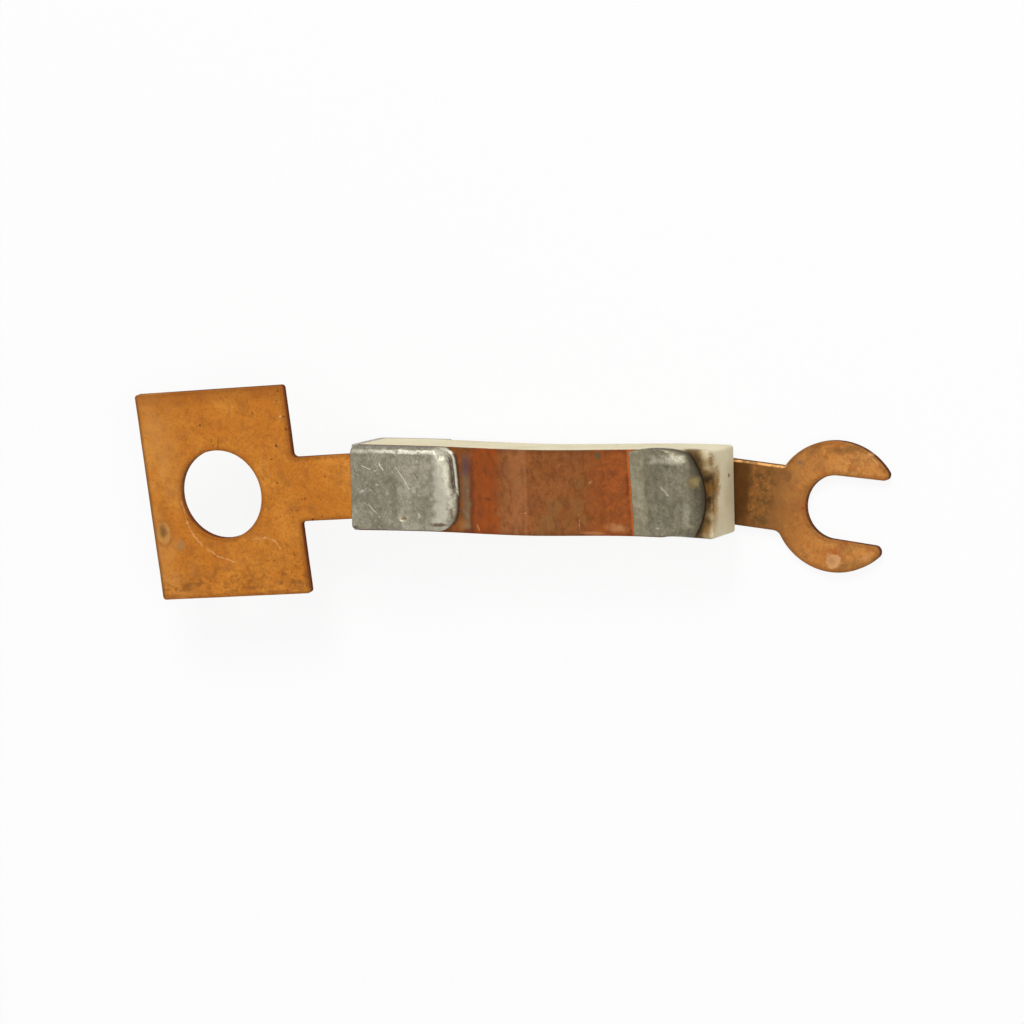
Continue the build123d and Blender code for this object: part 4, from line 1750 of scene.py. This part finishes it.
@dataclass
class FusibleJoint(SolderMass):
    """The low-melting alloy over the strip's right end, with a stem down through the bar."""

    length: float = 12.3
    skew: float = 0.6
    nose_setback: float = 0.9
    shoulder_setback: float = 3.4
    heel_setback: float = 2.6
    margin: float = 0.3
    bulge: float = 0.3
    stem_radius: float = 2.0
    stem_setback: float = 7.9
    sunk: float = 0.02
    skin_depth: float = 0.14
    body_depth: float = 0.26

    def outline(self) -> Points:
        """Plan of the head: a straight left edge, a bulging top, a round nose and a straight lower edge.

        Its right half is softened: each point is a weighted mean of its neighbours along the loop.

        Returns:
            Closed loop of points, from the block's middle.
        """
        top = HALF_WIDTH - self.margin
        upper_root, upper_end = (HALF_LENGTH - self.length, top), (HALF_LENGTH - self.shoulder_setback, top)
        lower_end = (HALF_LENGTH - self.heel_setback, -top)
        lower_root = (HALF_LENGTH - self.length + self.skew, -top)
        crest = ((upper_root[0] + upper_end[0]) / 2, HALF_WIDTH + self.bulge)
        nose = (HALF_LENGTH - self.nose_setback, 0)
        left = np.linspace(upper_root, lower_root, 40)
        lower = np.linspace(lower_root, lower_end, 30)
        end, upper = bow(lower_end, nose, upper_end), bow(upper_end, crest, upper_root)
        loop = refine(np.vstack([left[:-1], lower[:-1], end[:-1], upper[:-1]]), self.step, closed=True)
        reach = np.arange(-12, 13)
        weights = np.exp(-((reach / 5.0) ** 2))
        near = (np.arange(len(loop))[:, None] + reach) % len(loop)
        smooth = (loop[near] * (weights / weights.sum())[None, :, None]).sum(axis=1)
        return loop + (smooth - loop) * ease(loop[:, :1], 19.0, 21.0)

    def height(self, x: np.ndarray, y: np.ndarray, reach: np.ndarray) -> np.ndarray:
        """A thin skin on the strip, a thicker body beside it, and a round fall to the bar at the nose.

        Args:
            x: places along the block, from its middle.
            y: places across it.
            reach: distance of each from the outline.

        Returns:
            Array of levels.
        """
        root = HALF_LENGTH - self.length
        nose = ease(x, 20.8, 24.3)
        foot = STRIP * (1 - ease(x, 20.6, 23.5)) + 0.02
        wander = ripple(y, 0 * y, 33, 5.0, 0.25)
        body = ease(x + 0.1 * y + wander, root + 2.3, root + 3.2) * (1 - 0.6 * ease(y, 4.3, 5.9))
        crown = 0.1 * np.exp(-(((x - 21.0) / 2.6) ** 2) - ((y - 4.2) / 1.2) ** 2)
        uneven = ripple(x, y, 31, 3.6, 0.045) + ripple(x, y, 32, 1.4, 0.018) + ripple(x, y, 34, 0.8, 0.007)
        full = STRIP + self.skin_depth + self.body_depth * body + crown + uneven
        return BAR_FRONT + foot + (full - foot) * shoulder(reach, 0.35 + 2.1 * nose, 2.2)

    def build(self) -> bpy.types.Object:
        """Builds the head and adds the stem, a circle carried down its own axis.

        Returns:
            The piece.
        """
        shell = self.skin("joint", self.outline(), BAR_FRONT - self.sunk)
        place_x = BLOCK_X + HALF_LENGTH - self.stem_setback
        place_y = BLOCK_Y + SHANK_CROSSING + self.stem_setback * tan(radians(FORK_TURN))
        radius = np.array([0.0, 1.0, 1.0, 0.94, 0.0]) * self.stem_radius
        level = np.array([BAR_FRONT, BAR_FRONT, 0.05, -0.03, -0.03])
        ring = arc((0, 0), 1.0, 0, 360, 49)[:-1]
        stem = np.array([place_x, place_y]) + radius[:, None, None] * ring
        stem = np.concatenate([stem, np.broadcast_to(level[:, None, None], (*stem.shape[:2], 1))], axis=-1)
        shell.add(stem, -2.0)
        piece = shell.build()
        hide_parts("fusible_joint")
        return piece

    def finish(self) -> "Finish":
        """The joint's finish, with a tan patch, painted shade under the shoulder, pale marks and a scratch.

        Returns:
            The finish.
        """
        pale = (186, 180, 160)
        blots = (
            Blot(-17.7, 4.4, 1.35, 1.3, (120, 103, 64), 0.8, 0.6, 0.7),
            # painted shade under the shoulder's highlight
            Blot(-21.4, 6.6, 1.1, 0.4, (66, 56, 40), 0.7, 0.8, 0.9),
            Blot(-23.2, -2.3, 0.5, 0.2, (196, 190, 170), 0.5, 0.8, 0.8),
            Blot(-18.9, -0.2, 0.9, 2.6, pale, 0.3, 0.9, 0.9),
            Blot(-26.0, 2.4, 0.7, 2.2, pale, 0.25, 0.9, 0.9),
        )
        return JointAlloy(
            "joint_alloy",
            "fusible_alloy",
            blots,
            (Mark((-22.6, 3.7), (-21.5, 2.5), 0.22, pale, 0.5),),
            level=STRIP_FRONT + 0.4,
            body=(118, 112, 91),
            light=(136, 129, 106),
            dark=(84, 78, 62),
            shine=(172, 166, 146),
            scuff_and_glint_share=0.3,
        )


@dataclass
class CeramicBar:
    """The porcelain bar, which keeps its CAD mesh."""

    def finish(self) -> "Finish":
        """The bar's finish: soot and scorching where the joint's alloy met its right end.

        Returns:
            The finish.
        """
        soot = (34, 22, 6)
        blots = (
            Blot(-15.5, 3.6, 1.5, 3.4, (112, 76, 30), 0.9, 0.9, 0.5, sink=0.4, deep=2.4),
            Blot(-15.5, 7.4, 0.5, 2.0, (120, 86, 40), 0.8, 0.9, 0.8, deep=1.4),
            Blot(-15.9, 4.7, 1.4, 1.1, soot, 0.95, 0.95, 0.7, deep=1.6),
            Blot(-15.8, 2.0, 1.1, 1.2, soot, 0.85, 0.95, 0.8, deep=1.6),
            Blot(-16.2, -2.6, 0.8, 2.2, (132, 96, 48), 0.7, 0.9, 0.5, deep=1.6),
            Blot(-15.3, 4.2, 0.8, 3.4, (146, 104, 46), 0.85, 0.9, 0.6, sink=2.0, deep=1.9),
            Blot(-15.3, 0.4, 0.8, 2.6, (184, 150, 98), 0.7, 0.9, 0.8, sink=1.4, deep=1.6),
            Blot(-15.3, 4.6, 0.6, 0.5, (116, 80, 36), 0.85, 0.8, 0.4, sink=6.8, deep=0.6),
        )
        return Porcelain("bar_porcelain", "porcelain", blots, level=BAR_FRONT)

    def build(self) -> None:
        """Puts the finish on the bar's own mesh."""
        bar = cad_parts["ceramic_bar"]
        bar.data.materials.clear()
        bar.data.materials.append(self.finish().material())
        LOG.info("ceramic bar dressed")


class Studio:
    """Camera, lamps, world and floor."""

    eye: tuple[float, float, float] = (209.99, 72.18, 591.59)
    right: tuple[float, float, float] = (0.91571, -0.02503, -0.40106)
    up: tuple[float, float, float] = (-0.02292, 0.99318, -0.11431)
    back: tuple[float, float, float] = (0.40118, 0.11387, 0.90889)
    lens: float = 154.69
    film: float = 36.0
    middle: tuple[float, float, float] = (-49.0, 2.5, 6.0)
    floor_level: float = -0.2
    floor_side: float = 8000.0

    def put(self, thing: bpy.types.Object) -> bpy.types.Object:
        """Links an object to the scene."""
        bpy.context.scene.collection.objects.link(thing)
        return thing

    def camera(self) -> None:
        """Sets the camera at the photograph's place and turn."""
        data = bpy.data.cameras.new("camera")
        data.lens, data.sensor_width, data.clip_start, data.clip_end = self.lens, self.film, 0.01, 20.0
        camera = self.put(bpy.data.objects.new("camera", data))
        turn = Matrix((self.right, self.up, self.back)).transposed().to_4x4()
        camera.matrix_world = Matrix.Translation(Vector(self.eye) * MM) @ turn
        bpy.context.scene.camera = camera

    def lamp(self, name: str, place: tuple[float, float, float], width: float, power: float) -> None:
        """Adds a square soft lamp that faces the part.

        Args:
            name: the lamp's name.
            place: where it stands, in millimetres from the part's middle.
            width: its side, in millimetres.
            power: its power in watts.
        """
        data = bpy.data.lights.new(name, "AREA")
        data.size, data.energy = width * MM, power
        away = Vector(place)
        turn = away.to_track_quat("Z", "Y").to_matrix().to_4x4()
        lamp = self.put(bpy.data.objects.new(name, data))
        lamp.matrix_world = Matrix.Translation((Vector(self.middle) + away) * MM) @ turn

    def seen(self, graph: Graph) -> Field:
        """1 for rays from the camera, from gloss and through glass, else 0.

        Args:
            graph: the material's graph.

        Returns:
            The share.
        """
        path = graph.add("ShaderNodeLightPath")
        rays = [Field(graph, path.outputs[f"Is {kind} Ray"]) for kind in ("Camera", "Glossy", "Transmission")]
        return rays[0].most(rays[1]).most(rays[2])

    def world(self) -> None:
        """Plain pale world: white where it is seen, dimmer where it lights."""
        world = bpy.data.worlds.new("world")
        bpy.context.scene.world = world
        world.use_nodes = True
        graph = Graph(world.node_tree)
        background = world.node_tree.nodes["Background"]
        background.inputs["Color"].default_value = (1, 1, 1, 1)
        graph.feed(background.inputs["Strength"], self.seen(graph) * 0.5 + 0.5)

    def floor(self) -> None:
        """Pale floor just under the part, nearly white where it is seen, with the part's soft shadow."""
        level, half = self.floor_level * MM, self.floor_side * MM / 2
        mesh = bpy.data.meshes.new("floor")
        corners = [(x * half, y * half, level) for x, y in ((-1, -1), (1, -1), (1, 1), (-1, 1))]
        mesh.from_pydata(corners, [], [(0, 1, 2, 3)])
        floor = self.put(bpy.data.objects.new("floor", mesh))
        made = bpy.data.materials.new("floor_paint")
        made.use_nodes = True
        graph = Graph(made.node_tree)
        shader = made.node_tree.nodes["Principled BSDF"]
        paint = {"Base Color": (0.9, 0.9, 0.9, 1), "Roughness": 0.9, "Specular IOR Level": 0.1}
        for name, value in paint.items():
            graph.feed(shader.inputs[name], value)
        glow = graph.make("ShaderNodeEmission", 0, {})
        painted = {0: self.seen(graph) * 0.88, 1: Field(graph, shader.outputs[0]), 2: glow}
        mixed = graph.make("ShaderNodeMixShader", 0, painted)
        graph.feed(made.node_tree.nodes["Material Output"].inputs[0], mixed)
        mesh.materials.append(made)

    def build(self) -> None:
        """Builds the studio."""
        bpy.context.scene.view_settings.view_transform = "Standard"
        self.camera()
        self.world()
        self.floor()
        self.lamp("upper", (60, 620, 620), 340, 3.4)
        self.lamp("front", (520, 40, 740), 420, 1.75)
        LOG.info("studio built")


def main() -> None:
    """Builds the studio and the part's pieces, and dresses each."""
    logging.basicConfig(level=logging.INFO, format="%(name)s: %(message)s")
    Studio().build()
    for piece in (PlateTerminal(), ForkTerminal(), LinkStrip(), SolderPad(), FusibleJoint()):
        piece.finish().dress(piece.build())
    CeramicBar().build()


if __name__ == "__main__":
    main()
